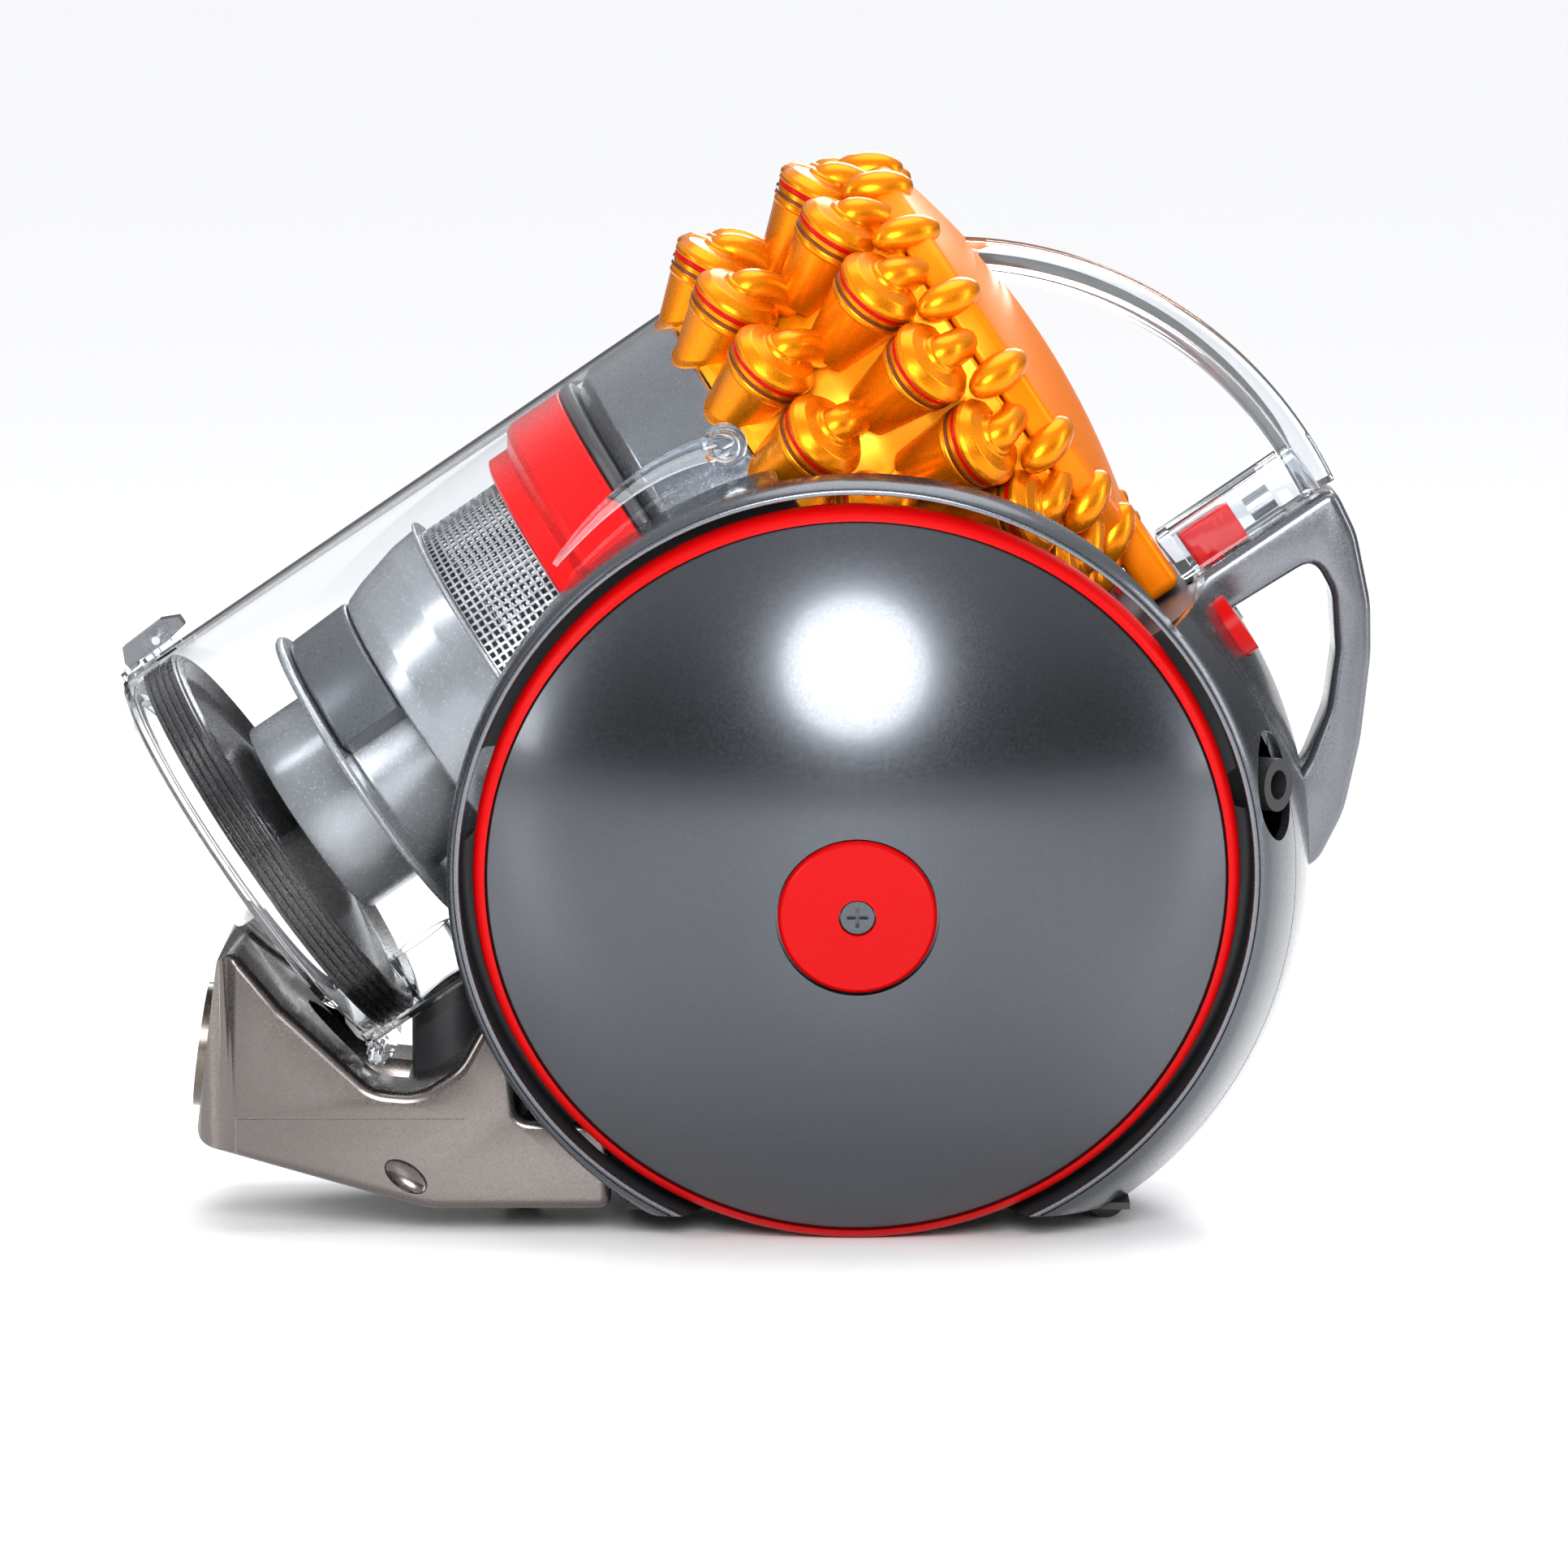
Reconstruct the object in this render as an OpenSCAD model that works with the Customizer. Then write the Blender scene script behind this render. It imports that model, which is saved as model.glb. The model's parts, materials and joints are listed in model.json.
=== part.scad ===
// Canister vacuum cleaner on two large domed wheels, with a lift-off clear bin and cyclone pack.
// X runs from the hose inlet (-) to the rear handle (+), Z is up, the floor is Z = 0.

/* [Wheels] */
// Radius of each large wheel over its tread
wheel_r = 129; // [124:1:134]
// Half the distance between the two tread rings
track = 87; // [84:1:92]
// Lean of each wheel, its top outward
camber = 10; // [6:1:12]
// Place of the wheel axles along X
wheel_x = 37; // [30:1:44]
// Bulge of the wheel dome beyond its tread ring
dome_h = 43.5; // [36:0.5:48]
// Wall of the wheel dome
dome_wall = 2.6; // [2:0.2:3.4]
// Radius of the red hub cap
hub_cap_r = 26.4; // [20:0.2:30]
// Radius of the steel axles
axle_r = 6; // [4:0.5:7]
// Running clearance of a turning bore on its pin
run_gap = 0.05; // [0.02:0.01:0.1]

/* [Ball] */
// Radius of the ball shell on its middle plane
ball_r = 145; // [141:1:150]
// Place of the shell's middle along X
ball_x = 48.6; // [44:0.2:54]
// Wall of the ball shell
shell_wall = 3; // [2.4:0.2:4]
// Gap between the wheel tread and the shell rim
rim_gap = 3; // [2:0.5:4]
// Height of the flat underside above the floor
belly_z = 8; // [6:0.5:10]

/* [Bin] */
// Tilt of the bin above the floor
bin_tilt = 34.2; // [32:0.2:36]
// Outer radius of the clear bin
bin_r = 76.5; // [72:0.5:79]
// Wall of the clear bin
bin_wall = 1.8; // [1.4:0.2:2.6]
// Length of the clear bin
bin_len = 224; // [220:1:228]
// Radius of the central dust tube
tube_r = 37; // [32:1:42]
// Radius of the perforated shroud
shroud_r = 60; // [54:1:66]

/* [Cyclones] */
// Number of cyclones in each of the two tiers
cyclone_count = 16; // [12:1:16]
// Outward lean of each cyclone
lean = 31; // [28:1:34]
// Radius of the circle through the cap centres
tier_r = 81; // [79:0.5:83]
// Radius of a cyclone cap
cap_r = 16; // [14:0.25:16.5]
// Height of the lower tier's caps along the bin axis
low_s = 247; // [245:0.5:249]
// Height of the upper tier's caps along the bin axis
high_s = 290; // [287:0.5:292]

/* [Nose] */
// Half width of the nose duct
nose_w = 56; // [50:1:64]
// Radius of the hose socket bore
hose_r = 16.5; // [14:0.25:18]
// Depth of the hose socket bore
hose_depth = 26; // [20:1:30]

/* [Handles] */
// Outer radius of the clear carrying arc
arc_r = 146; // [142:1:150]
// Thickness of the clear carrying arc
arc_t = 13; // [10:0.5:15]
// Width of both handles across the body
grip_w = 34; // [28:1:40]

/* [Castors] */
// Radius of the front castor wheel
castor_r = 8.5; // [7:0.25:9]
// Radius of the rear roller
roller_r = 6.7; // [6:0.1:7]

/* [Hidden] */
$fn = 96;
gap = 0.3;

// Tread section: a crown of this radius, centred this far inside the dome's edge
crown = 8;
crown_in = 6;
// The axles sit so that the tread just touches the floor
wheel_z = (wheel_r - crown) * cos(camber) - crown_in * sin(camber) + crown;
// The dome is a cap of a sphere
dome_edge = wheel_r - 4.2;
dome_sphere = (dome_edge * dome_edge + dome_h * dome_h) / (2 * dome_h);
rim_r = wheel_r + rim_gap + 1.5;
bush_r = axle_r + 4;
screw_r = 2;
ball_z = wheel_z;

// The bin axis starts below and in front, where the base flap closes
bin_x = -170;
bin_z = 122.6;
inner_r = bin_r - bin_wall;
pack_r = 99;
split_r = 100;
cap_t = 6;

// Places along the bin axis: the perforated mesh, the cyclone band, the open sides of the pack, the cover
mesh_s = 111;
band_s = 224.3;
wide_s = 229;
cover_s = 304;
flap_t = 2.4;
latch_s = 16;

reel_x = 118;
reel_z = 76;
reel_r = 46;
motor_x = -2;
motor_z = 64;
motor_r = 42;
castor_x = -69;
well_r = 19.5;
well_top = 26;
riser_x = -102;
riser_r = 14;
nose_split = 39;
cord_r = 5;
button_r = 11;
castor_trail = 8.5;
roller_x = 123.6;
hose_z = 57;
nose_x = -186;

module on_wheel(side) {
    mirror([0, side > 0 ? 1 : 0, 0]) translate([wheel_x, -track, wheel_z])
        rotate([90 + camber, 0, 0]) children();
}

// Local z runs up the bin axis and local x points up, away from the floor
module on_bin() {
    translate([bin_x, 0, bin_z]) rotate([0, 90 - bin_tilt, 0]) rotate([0, 0, 180]) children();
}

module ring(r_out, r_in, h) {
    difference() {
        cylinder(r = r_out, h = h);
        translate([0, 0, -1]) cylinder(r = r_in, h = h + 2);
    }
}

module turn(profile) {
    rotate_extrude() polygon(profile);
}

// Space that the bin and cyclone pack need, open along the way they lift off
module lift_space(c) {
    on_bin() {
        translate([0, 0, -70]) cylinder(r = bin_r + c, h = 300 + c);
        translate([0, -bin_r - c, -70]) cube([300, 2 * (bin_r + c), 300 + c]);
        translate([-split_r - c, -pack_r - c, wide_s - c]) cube([420, 2 * (pack_r + c), 260]);
    }
}

// Outer form of the ball, drawn in by the wall to give the inner one
module ball_form(inset) {
    widths = [-66, -40, -15, 15, 40, 66];
    hull() {
        for (side = [-1, 1]) on_wheel(side) translate([0, 0, -3])
            cylinder(r1 = rim_r / 2, r2 = rim_r + 2.5 - inset, h = 2, $fn = 72);
        translate([ball_x, 0, ball_z]) rotate([90, 0, 0]) rotate_extrude($fn = 72)
            polygon(concat([[0, widths[0]]], [for (y = widths) [ball_r - inset - y * y / 1100, y]],
                [[0, widths[5]]]));
    }
}

module ball_cuts() {
    lift_space(gap * 4);
    for (side = [-1, 1]) on_wheel(side) translate([0, 0, -16.5]) cylinder(r = rim_r, h = 80);
    translate([-200, -200, -60]) cube([500, 400, 60 + belly_z]);
    nose_outline(0);
    rear_handle_form();
    castor_well();
    roller_well();
    riser_hole();
    at_cord() cylinder(r = cord_r + 4, h = 60, center = true);
    for (side = [-1, 1]) at_button(side) cylinder(r = button_r + gap, h = 20, center = true);
}

module ball_half(side) {
    difference() {
        ball_form(0);
        ball_form(shell_wall);
        ball_cuts();
        translate([-300, side > 0 ? -200 : 0, -100]) cube([700, 200, 600]);
    }
}

module castor_well() {
    translate([castor_x, 0, -1]) cylinder(r = well_r, h = well_top + 1);
}

module roller_well() {
    translate([roller_x - 9.5, -24, -1]) cube([19, 48, 17]);
}

// Buttons sit square to the shell behind the pack, one each side of the handle
module at_button(side) {
    translate([ball_x + (ball_r - 3) * sin(55), side * 48, ball_z + (ball_r - 3) * cos(55)])
        rotate([0, 55, 0]) children();
}

module at_cord() {
    translate([174, -74, 157]) rotate([0, 90, -35]) children();
}

// Hole in the shell and the cradle that the duct and its seal stand in
module riser_hole() {
    translate([riser_x, 0, nose_split - 5]) cylinder(r = riser_r + gap, h = 70);
}

// Upright duct from the nose to the mouth in the bin wall
module riser(r) {
    difference() {
        translate([riser_x, 0, nose_split]) cylinder(r = r, h = 44);
        lift_space(4.5);
    }
}

// Side outline of the nose duct, from the hose end back into the ball
module nose_side() {
    polygon([[-188, 31], [-186.5, 29], [-109, 8.5], [-46, 8.5], [-46, 39], [-84, 39],
        [-92, 50], [-112, 47.5], [-127, 49.5], [-138, 60], [-158, 78.5], [-174, 97], [-179, 96]]);
}

module nose_plan(c) {
    corner = 26;
    difference() {
        translate([-190, -nose_w - c]) square([150, 2 * (nose_w + c)]);
        for (side = [-1, 1]) translate([-190 + corner - 2, side * (nose_w + c - corner)])
            difference() {
                translate([-corner, side > 0 ? 0 : -corner]) square(corner);
                circle(r = corner);
            }
    }
}

module nose_outline(c) {
    intersection() {
        rotate([90, 0, 0]) linear_extrude(height = 160, center = true) nose_side();
        linear_extrude(height = 140) nose_plan(c);
    }
}

// Local z runs into the hose socket from its mouth
module at_hose() {
    translate([nose_x, 0, hose_z]) rotate([0, 97.5, 0]) children();
}

module airway() {
    translate([-163, -22, 14]) cube([15, 44, 48]);
    translate([-163, -22, 14]) cube([-90 + 163, 44, 30]);
}

module ball_shell_left() {
    color("#55585c") ball_half(-1);
}

module ball_shell_right() {
    color("#55585c") ball_half(1);
}

module belly_plate() {
    color("#3c3e41") difference() {
        union() {
            translate([-44, -45, belly_z - 1.5]) cube([181, 90, 1.5]);
            for (y = [-27, 24]) translate([roller_x - 6, y, 3.5]) cube([12, 3, belly_z - 3.5]);
        }
        roller_well();
        translate([roller_x, 0, roller_r]) rotate([90, 0, 0]) cylinder(r = 2, h = 60, center = true);
    }
}

module bin_cradle() {
    color("#3c3e41") difference() {
        intersection() {
            ball_form(shell_wall + 0.2);
            lift_space(4.2);
        }
        lift_space(1.2);
        for (side = [-1, 1]) on_wheel(side) translate([0, 0, -19]) cylinder(r = 150, h = 80);
        riser_hole();
        nose_outline(gap);
        rear_handle_form();
    }
}

// Loop that stands behind the ball, its top cut along the split of the lift-off pack
module rear_handle_form() {
    rotate([90, 0, 0]) linear_extrude(height = grip_w, center = true)
        polygon([[150, 218.7], [201, 253.2], [209, 236], [214, 212], [214.3, 194], [211, 165], [205.5, 140],
            [196, 122], [180, 116], [180, 142], [192, 158], [199, 176], [201.5, 196], [200, 216],
            [194, 228], [160, 206]]);
}

module rear_handle() {
    color("#7d7f82") difference() {
        rear_handle_form();
        on_bin() translate([-105, -5, 327]) cube([10, 10, 14]);
    }
}

module nose_upper() {
    color("#a59c93") difference() {
        nose_outline(0);
        translate([-300, -200, -50]) cube([400, 400, 50 + nose_split]);
        airway();
        at_hose() translate([0, 0, -20]) cylinder(r = hose_r + 3, h = 20 + hose_depth);
        translate([riser_x, 0, 30]) cylinder(r = riser_r, h = 60);
    }
}

module nose_lower() {
    color("#948c84") difference() {
        nose_outline(0);
        translate([-300, -200, nose_split]) cube([400, 400, 100]);
        airway();
        for (side = [-1, 1]) translate([-150, side * 38 - 12, 12]) cube([94, 24, nose_split - 15]);
        at_hose() translate([0, 0, -20]) cylinder(r = hose_r + 3, h = 20 + hose_depth);
        castor_well();
        translate([castor_x, 0, 0]) cylinder(r = 4 + run_gap, h = 33);
    }
}

module hose_socket() {
    color("#2b2c2e") at_hose() difference() {
        union() {
            translate([0, 0, 1]) cylinder(r = hose_r + 3, h = hose_depth - 1);
            translate([0, 0, -3]) cylinder(r = hose_r + 5, h = 4);
        }
        translate([0, 0, -5]) cylinder(r = hose_r, h = hose_depth + 10);
    }
}

module airway_duct() {
    color("#2b2c2e") difference() {
        riser(riser_r);
        translate([riser_x, 0, 0]) cylinder(r = riser_r - 2.5, h = 120);
    }
}

module port_seal() {
    color("#1c1c1e") difference() {
        translate([riser_x, 0, nose_split]) cylinder(r = riser_r, h = 60);
        translate([riser_x, 0, 0]) cylinder(r = riser_r - 2.5, h = 140);
        lift_space(gap);
        difference() {
            translate([riser_x - 40, -40, nose_split - 1]) cube([80, 80, 70]);
            lift_space(4.5);
        }
    }
}

// Inner wall of the ball that carries one wheel axle
module side_frame(side) {
    difference() {
        on_wheel(side) {
            translate([0, 0, -24]) cylinder(r = 112, h = 3);
            translate([0, 0, -40]) cylinder(r = 14, h = 17);
        }
        on_wheel(side) translate([0, 0, -60]) cylinder(r = axle_r, h = 120);
        lift_space(5);
        translate([motor_x, 0, motor_z]) rotate([90, 0, 0]) cylinder(r = 8, h = 200, center = true);
        translate([reel_x, 0, reel_z]) rotate([90, 0, 0]) cylinder(r = 5, h = 200, center = true);
        rear_handle_form();
        at_cord() cylinder(r = cord_r + 8, h = 60, center = true);
    }
}

module side_frame_left() {
    color("#26272a") side_frame(-1);
}

module side_frame_right() {
    color("#26272a") side_frame(1);
}

module axle(side) {
    on_wheel(side) {
        translate([0, 0, -46]) cylinder(r = axle_r, h = 78);
        translate([0, 0, -20.9]) cylinder(r = bush_r, h = 3);
    }
}

module axle_left() {
    color("#b9bcc0") axle(-1);
}

module axle_right() {
    color("#b9bcc0") axle(1);
}

// Section of the wheel dome, from its hub floor out to the tread seat
module dome_section() {
    hub_floor = dome_h - 6;
    difference() {
        intersection() {
            translate([0, dome_h - dome_sphere]) circle(r = dome_sphere);
            translate([0, -2.5]) square([dome_edge, 60]);
        }
        translate([0, dome_h - dome_sphere]) circle(r = dome_sphere - dome_wall);
        translate([-1, hub_floor]) square([hub_cap_r + 1.8, 60]);
    }
    difference() {
        union() {
            translate([0, hub_floor - 4]) square([hub_cap_r + 4, 4]);
            translate([hub_cap_r + 0.8, hub_floor - 4]) square([3.2, 7]);
            translate([0, -14]) square([bush_r + 4, hub_floor + 12]);
        }
        translate([-1, -20]) square([bush_r + 1, hub_floor + 16]);
        translate([-1, -20]) square([screw_r + 1, 90]);
    }
    translate([wheel_r - crown - 2.5, -13]) square([3, 14.5]);
}

module wheel_dome(side) {
    color("#4b4e52") on_wheel(side) difference() {
        rotate_extrude() intersection() {
            dome_section();
            translate([0, -20]) square([300, 100]);
        }
    }
}

module tread_ring(side) {
    color("#d2101c") on_wheel(side) rotate_extrude() intersection() {
        translate([wheel_r - crown, -crown_in]) circle(r = crown);
        union() {
            translate([wheel_r - crown + 0.5, -40]) square([40, 40 - 2.5]);
            translate([dome_edge, -3]) square([40, 20]);
        }
    }
}

module hub_cap(side) {
    color("#d2101c") on_wheel(side) translate([0, 0, dome_h - 6])
        turn([[6.2, 0], [hub_cap_r, 0], [hub_cap_r, 3], [hub_cap_r - 1.4, 4.4], [6.2, 5]]);
}

module hub_screw(side) {
    color("#3a3a3c") on_wheel(side) translate([0, 0, dome_h - 6]) difference() {
        union() {
            cylinder(r = 5.6, h = 4);
            translate([0, 0, -4]) cylinder(r = screw_r, h = 4.5);
        }
        for (a = [0, 90]) rotate([0, 0, a]) translate([-3.5, -0.6, 2]) cube([7, 1.2, 3]);
    }
}

module wheel_bush(side) {
    color("#d8d4c8") on_wheel(side) translate([0, 0, -14]) ring(bush_r, axle_r + run_gap, 42);
}

module wheel_dome_left() {
    wheel_dome(-1);
}

module wheel_dome_right() {
    wheel_dome(1);
}

module tread_ring_left() {
    tread_ring(-1);
}

module tread_ring_right() {
    tread_ring(1);
}

module hub_cap_left() {
    hub_cap(-1);
}

module hub_cap_right() {
    hub_cap(1);
}

module hub_screw_left() {
    hub_screw(-1);
}

module hub_screw_right() {
    hub_screw(1);
}

module wheel_bush_left() {
    wheel_bush(-1);
}

module wheel_bush_right() {
    wheel_bush(1);
}

module on_motor() {
    translate([motor_x, 0, motor_z]) rotate([90, 0, 0]) children();
}

module motor_bucket() {
    color("#303235") on_motor() {
        for (end = [0, 1]) mirror([0, 0, end]) difference() {
            union() {
                translate([0, 0, 39]) cylinder(r = motor_r, h = 3);
                translate([0, 0, 29.5]) cylinder(r = 13, h = 10);
                translate([0, 0, 41]) cylinder(r = 8, h = 20);
            }
            translate([0, 0, 29]) cylinder(r = 10, h = 10);
            for (a = [0 : 60 : 300]) rotate([0, 0, a]) translate([26, 0, 30]) cylinder(r = 6, h = 20);
        }
        translate([0, 0, -40]) ring(motor_r, motor_r - 3, 80);
    }
}

module motor_stator() {
    color("#8f9296") on_motor() translate([0, 0, -18]) ring(36, 24, 36);
}

module motor_rotor() {
    color("#b87333") on_motor() {
        translate([0, 0, -38]) cylinder(r = 4, h = 76);
        translate([0, 0, -18]) cylinder(r = 23, h = 36);
        translate([0, 0, 22]) cylinder(r = 34, h = 6);
    }
}

module motor_bearings() {
    color("#c4c7ca") on_motor() for (end = [0, 1])
        mirror([0, 0, end]) translate([0, 0, 31]) ring(10, 4 + run_gap, 7);
}

module motor_mounts() {
    color("#1f1f20") on_motor() for (end = [0, 1])
        mirror([0, 0, end]) translate([0, 0, 7]) ring(motor_r - 3, 36, 8);
}

module exhaust_filter() {
    color("#e8e6df") translate([48, -40, 30]) cube([16, 80, 88]);
}

module on_reel() {
    translate([reel_x, 0, reel_z]) rotate([90, 0, 0]) children();
}

module reel_drum() {
    color("#d9d9d6") on_reel() translate([0, 0, -30])
        turn([[5 + run_gap, 0], [reel_r, 0], [reel_r, 2], [20, 2], [20, 58], [reel_r, 58], [reel_r, 60],
            [5 + run_gap, 60]]);
}

module reel_spindle() {
    color("#b9bcc0") on_reel() {
        translate([0, 0, -61]) cylinder(r = 5, h = 122);
        for (end = [0, 1]) mirror([0, 0, end]) translate([0, 0, 31]) cylinder(r = 9, h = 3);
    }
}

module cord_gland() {
    color("#1c1c1e") at_cord() difference() {
        translate([0, 0, -12]) cylinder(r = cord_r + 4, h = 18);
        translate([0, 0, -20]) cylinder(r = cord_r, h = 40);
    }
}

module castor_fork() {
    color("#303235") translate([castor_x, 0, 0]) difference() {
        union() {
            translate([0, 0, 20]) cylinder(r = 9, h = 2.5);
            translate([0, 0, 22]) cylinder(r = 4, h = 10);
            for (y = [-7.6, 5.4]) translate([-castor_trail - 4, y, castor_r - 4])
                cube([castor_trail + 7, 2.2, 24.5 - castor_r]);
        }
        translate([-castor_trail, 0, castor_r]) rotate([90, 0, 0]) cylinder(r = 1.5, h = 40, center = true);
    }
}

module castor_wheel() {
    color("#3a3a3c") translate([castor_x - castor_trail, 0, castor_r]) rotate([90, 0, 0])
        translate([0, 0, -5]) ring(castor_r, 1.5 + run_gap, 10);
}

module castor_axle() {
    color("#b9bcc0") translate([castor_x - castor_trail, 0, castor_r]) rotate([90, 0, 0])
        cylinder(r = 1.5, h = 15.2, center = true);
}

module rear_roller() {
    color("#3a3a3c") translate([roller_x, 0, roller_r]) rotate([90, 0, 0])
        translate([0, 0, -22]) ring(roller_r, 2 + run_gap, 44);
}

module roller_axle() {
    color("#b9bcc0") translate([roller_x, 0, roller_r]) rotate([90, 0, 0])
        cylinder(r = 2, h = 54, center = true);
}

module button(side) {
    at_button(side) difference() {
        translate([0, 0, -4]) cylinder(r = button_r, h = 7);
        translate([0, 0, -5]) cylinder(r = 7.5, h = 4);
    }
}

module power_button() {
    color("#d2101c") button(-1);
}

module rewind_button() {
    color("#8a8d91") button(1);
}

module button_springs() {
    color("#c4c7ca") for (side = [-1, 1]) at_button(side) {
        translate([0, 0, -12.5]) ring(6.5, 5, 8);
        translate([0, 0, -15]) cylinder(r = button_r + 2, h = 2.5);
        translate([0, 0, -15]) ring(button_r + 2, button_r + gap, 10);
    }
}

// Clear bin tube, with the inlet elbow low on its wall and ears for the two pins
module clear_bin() {
    pin_x = bin_r + 3.3;
    color("#dfe8ee", 0.4) on_bin() difference() {
        union() {
            ring(bin_r, inner_r, bin_len);
            rotate([90, 0, 0]) linear_extrude(height = 26, center = true)
                polygon([[-pin_x - 3, -5.5], [-bin_r - 0.3, -5.5], [-bin_r - 0.3, 0.2], [-bin_r + 1.4, 0.2],
                    [-bin_r + 1.4, 8], [-bin_r - 1.5, 8], [-pin_x - 3, 2]]);
            for (y = [-14, 10.5]) translate([bin_r - 1.6, y, 12.4]) cube([9, 3.5, 8]);
            translate([-inner_r + 1, 0, inlet_s()]) rotate([0, 90, 0]) cylinder(r = 13, h = 18);
        }
        translate([-pin_x - 8, 0, inlet_s()]) rotate([0, 90, 0]) cylinder(r = 11, h = 40);
        translate([-pin_x, 0, -2.5]) rotate([90, 0, 0]) cylinder(r = 1.5, h = 60, center = true);
        translate([bin_r + 5, 0, latch_s]) rotate([90, 0, 0]) cylinder(r = 1.5, h = 60, center = true);
    }
}

// Distance along the bin axis of the wall mouth above the riser
function inlet_s() = (riser_x - bin_x - bin_r * sin(bin_tilt)) / cos(bin_tilt);

module bin_seal() {
    color("#1c1c1e") on_bin()
        turn([[0, 22], [30, 20], [58, 12], [73.4, 12], [73.4, 4.5], [69, 4.5], [66, 8], [58, 9.5],
            [30, 17], [0, 19]]);
}

module base_flap() {
    pin_x = bin_r + 3.3;
    cap_sphere = 127.5;
    color("#dfe8ee", 0.4) on_bin() {
        difference() {
            union() {
                translate([0, 0, -flap_t - gap]) cylinder(r = bin_r - 1.3, h = flap_t);
                translate([70, -10, -0.9 - gap]) cube([bin_r + 1.9 - 70, 20, 0.9]);
                translate([bin_r + gap, -10, -0.9 - gap]) cube([1.6, 20, 12.9]);
                intersection() {
                    translate([8, 0, -5 + cap_sphere - 15]) sphere(r = cap_sphere);
                    translate([8, 0, -25]) cylinder(r = 62, h = 23);
                }
            }
            intersection() {
                translate([8, 0, -5 + cap_sphere - 15]) sphere(r = cap_sphere - 2);
                translate([8, 0, -25]) cylinder(r = 58, h = 26);
            }
            translate([bin_r - 2, -6, 2]) cube([6, 12, 5.5]);
        }
        translate([0, 0, -1]) ring(72, 69, 5.5);
        for (y = [-20, 13.5]) difference() {
            union() {
                translate([-pin_x, y, -2.5]) rotate([-90, 0, 0]) cylinder(r = 3, h = 6.5);
                translate([-pin_x, y, -3]) cube([9, 6.5, 2.6]);
            }
            translate([-pin_x, 0, -2.5]) rotate([90, 0, 0])
                cylinder(r = 1.5 + run_gap, h = 60, center = true);
        }
    }
}

module flap_pin() {
    color("#b9bcc0") on_bin() {
        translate([-bin_r - 3.3, 0, -2.5]) rotate([90, 0, 0]) cylinder(r = 1.5, h = 40, center = true);
        translate([bin_r + 5, 0, latch_s]) rotate([90, 0, 0]) cylinder(r = 1.5, h = 28, center = true);
    }
}

module base_latch() {
    color("#c9c3bb") on_bin() difference() {
        rotate([90, 0, 0]) linear_extrude(height = 11, center = true)
            polygon([[bin_r + 0.8, 2.4], [bin_r + 4, 1.6], [bin_r + 9, 4], [bin_r + 9.8, 20], [bin_r + 7, 26],
                [bin_r + 3.5, 26], [bin_r + 2.2, 18], [bin_r + 2.2, 5], [bin_r + 0.8, 5]]);
        translate([bin_r + 5, 0, latch_s]) rotate([90, 0, 0])
            cylinder(r = 1.5 + run_gap, h = 60, center = true);
    }
}

module dust_tube() {
    color("#9a9da0") on_bin() {
        translate([0, 0, 23]) ring(tube_r, tube_r - 3, 53);
        translate([0, 0, 48]) ring(58, tube_r - 1, 3);
    }
}

module shroud_body() {
    color("#85888c") on_bin()
        turn([[34, 76.2], [56, 76.2], [shroud_r - 2, 84], [62, 100], [62, 111], [59, 111], [59, 101],
            [55, 86], [53.5, 79.2], [34, 79.2]]);
}

module shroud_mesh() {
    color("#b5b8bb") on_bin() translate([0, 0, mesh_s + 0.2]) ring(shroud_r, shroud_r - 1.4, 31.6);
}

module red_ring() {
    color("#c8101c") on_bin()
        turn([[56, 143.2], [67, 143.2], [67, 152.5], [70, 154], [73.8, 158], [73.8, 177.5], [64, 177.5],
            [64, 160], [56, 152]]);
}

module collar() {
    color("#7b7e82") on_bin()
        turn([[62, 183.2], [70, 183.2], [74.2, 190], [74.2, 224], [70, 224], [70, 192], [62, 186]]);
}

module cyclone_core() {
    color("#c45a10") on_bin() {
        turn([[38, 178], [70, 178], [70, 183], [44, 183], [44, 303.5], [38, 303.5]]);
    }
}

// Frame of one cyclone at its cap centre, local z out along the cyclone
module at_cyclone(i, s) {
    on_bin() rotate([0, 0, (i + 0.5) * 360 / cyclone_count]) translate([tier_r, 0, s])
        rotate([0, lean, 0]) children();
}

module cones(s) {
    for (i = [0 : cyclone_count - 1]) at_cyclone(i, s)
        translate([0, 0, -64]) cylinder(h = 64 - 1.6, r1 = 9, r2 = cap_r - 1);
}

module lower_cyclones() {
    color("#d2600a") difference() {
        union() {
            cones(low_s);
            on_bin() turn([[50, band_s], [73.5, band_s], [67.5, 239], [50, 239]]);
        }
        on_bin() translate([0, 0, 100]) cylinder(r = 150, h = band_s - 100);
        on_bin() translate([0, 0, 100]) ring(150, bin_r, wide_s - 100);
        on_bin() cylinder(r = 50, h = 400);
        on_bin() translate([0, 0, 239]) cylinder(r = 66.8, h = 60);
    }
}

module upper_cyclones() {
    color("#d2600a") difference() {
        union() {
            cones(high_s);
            on_bin() turn([[44.3, 239.4], [58, 239.4], [58, 284], [70, 288], [70, 292], [44.3, 292]]);
        }
        on_bin() translate([0, 0, 100]) cylinder(r = 150, h = 139.4);
        on_bin() cylinder(r = 44.3, h = 400);
        on_bin() translate([0, 0, 200]) ring(150, 66.4, 62);
    }
}

module cyclone_caps() {
    color("#e06a10") for (s = [low_s, high_s], i = [0 : cyclone_count - 1]) at_cyclone(i, s)
        turn([[0, 0], [cap_r - 0.4, 0], [cap_r - 0.4, 2.5], [cap_r - 3.5, cap_t], [5.5, cap_t],
            [5.5, cap_t + 4], [0, cap_t + 4]]);
}

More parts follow.
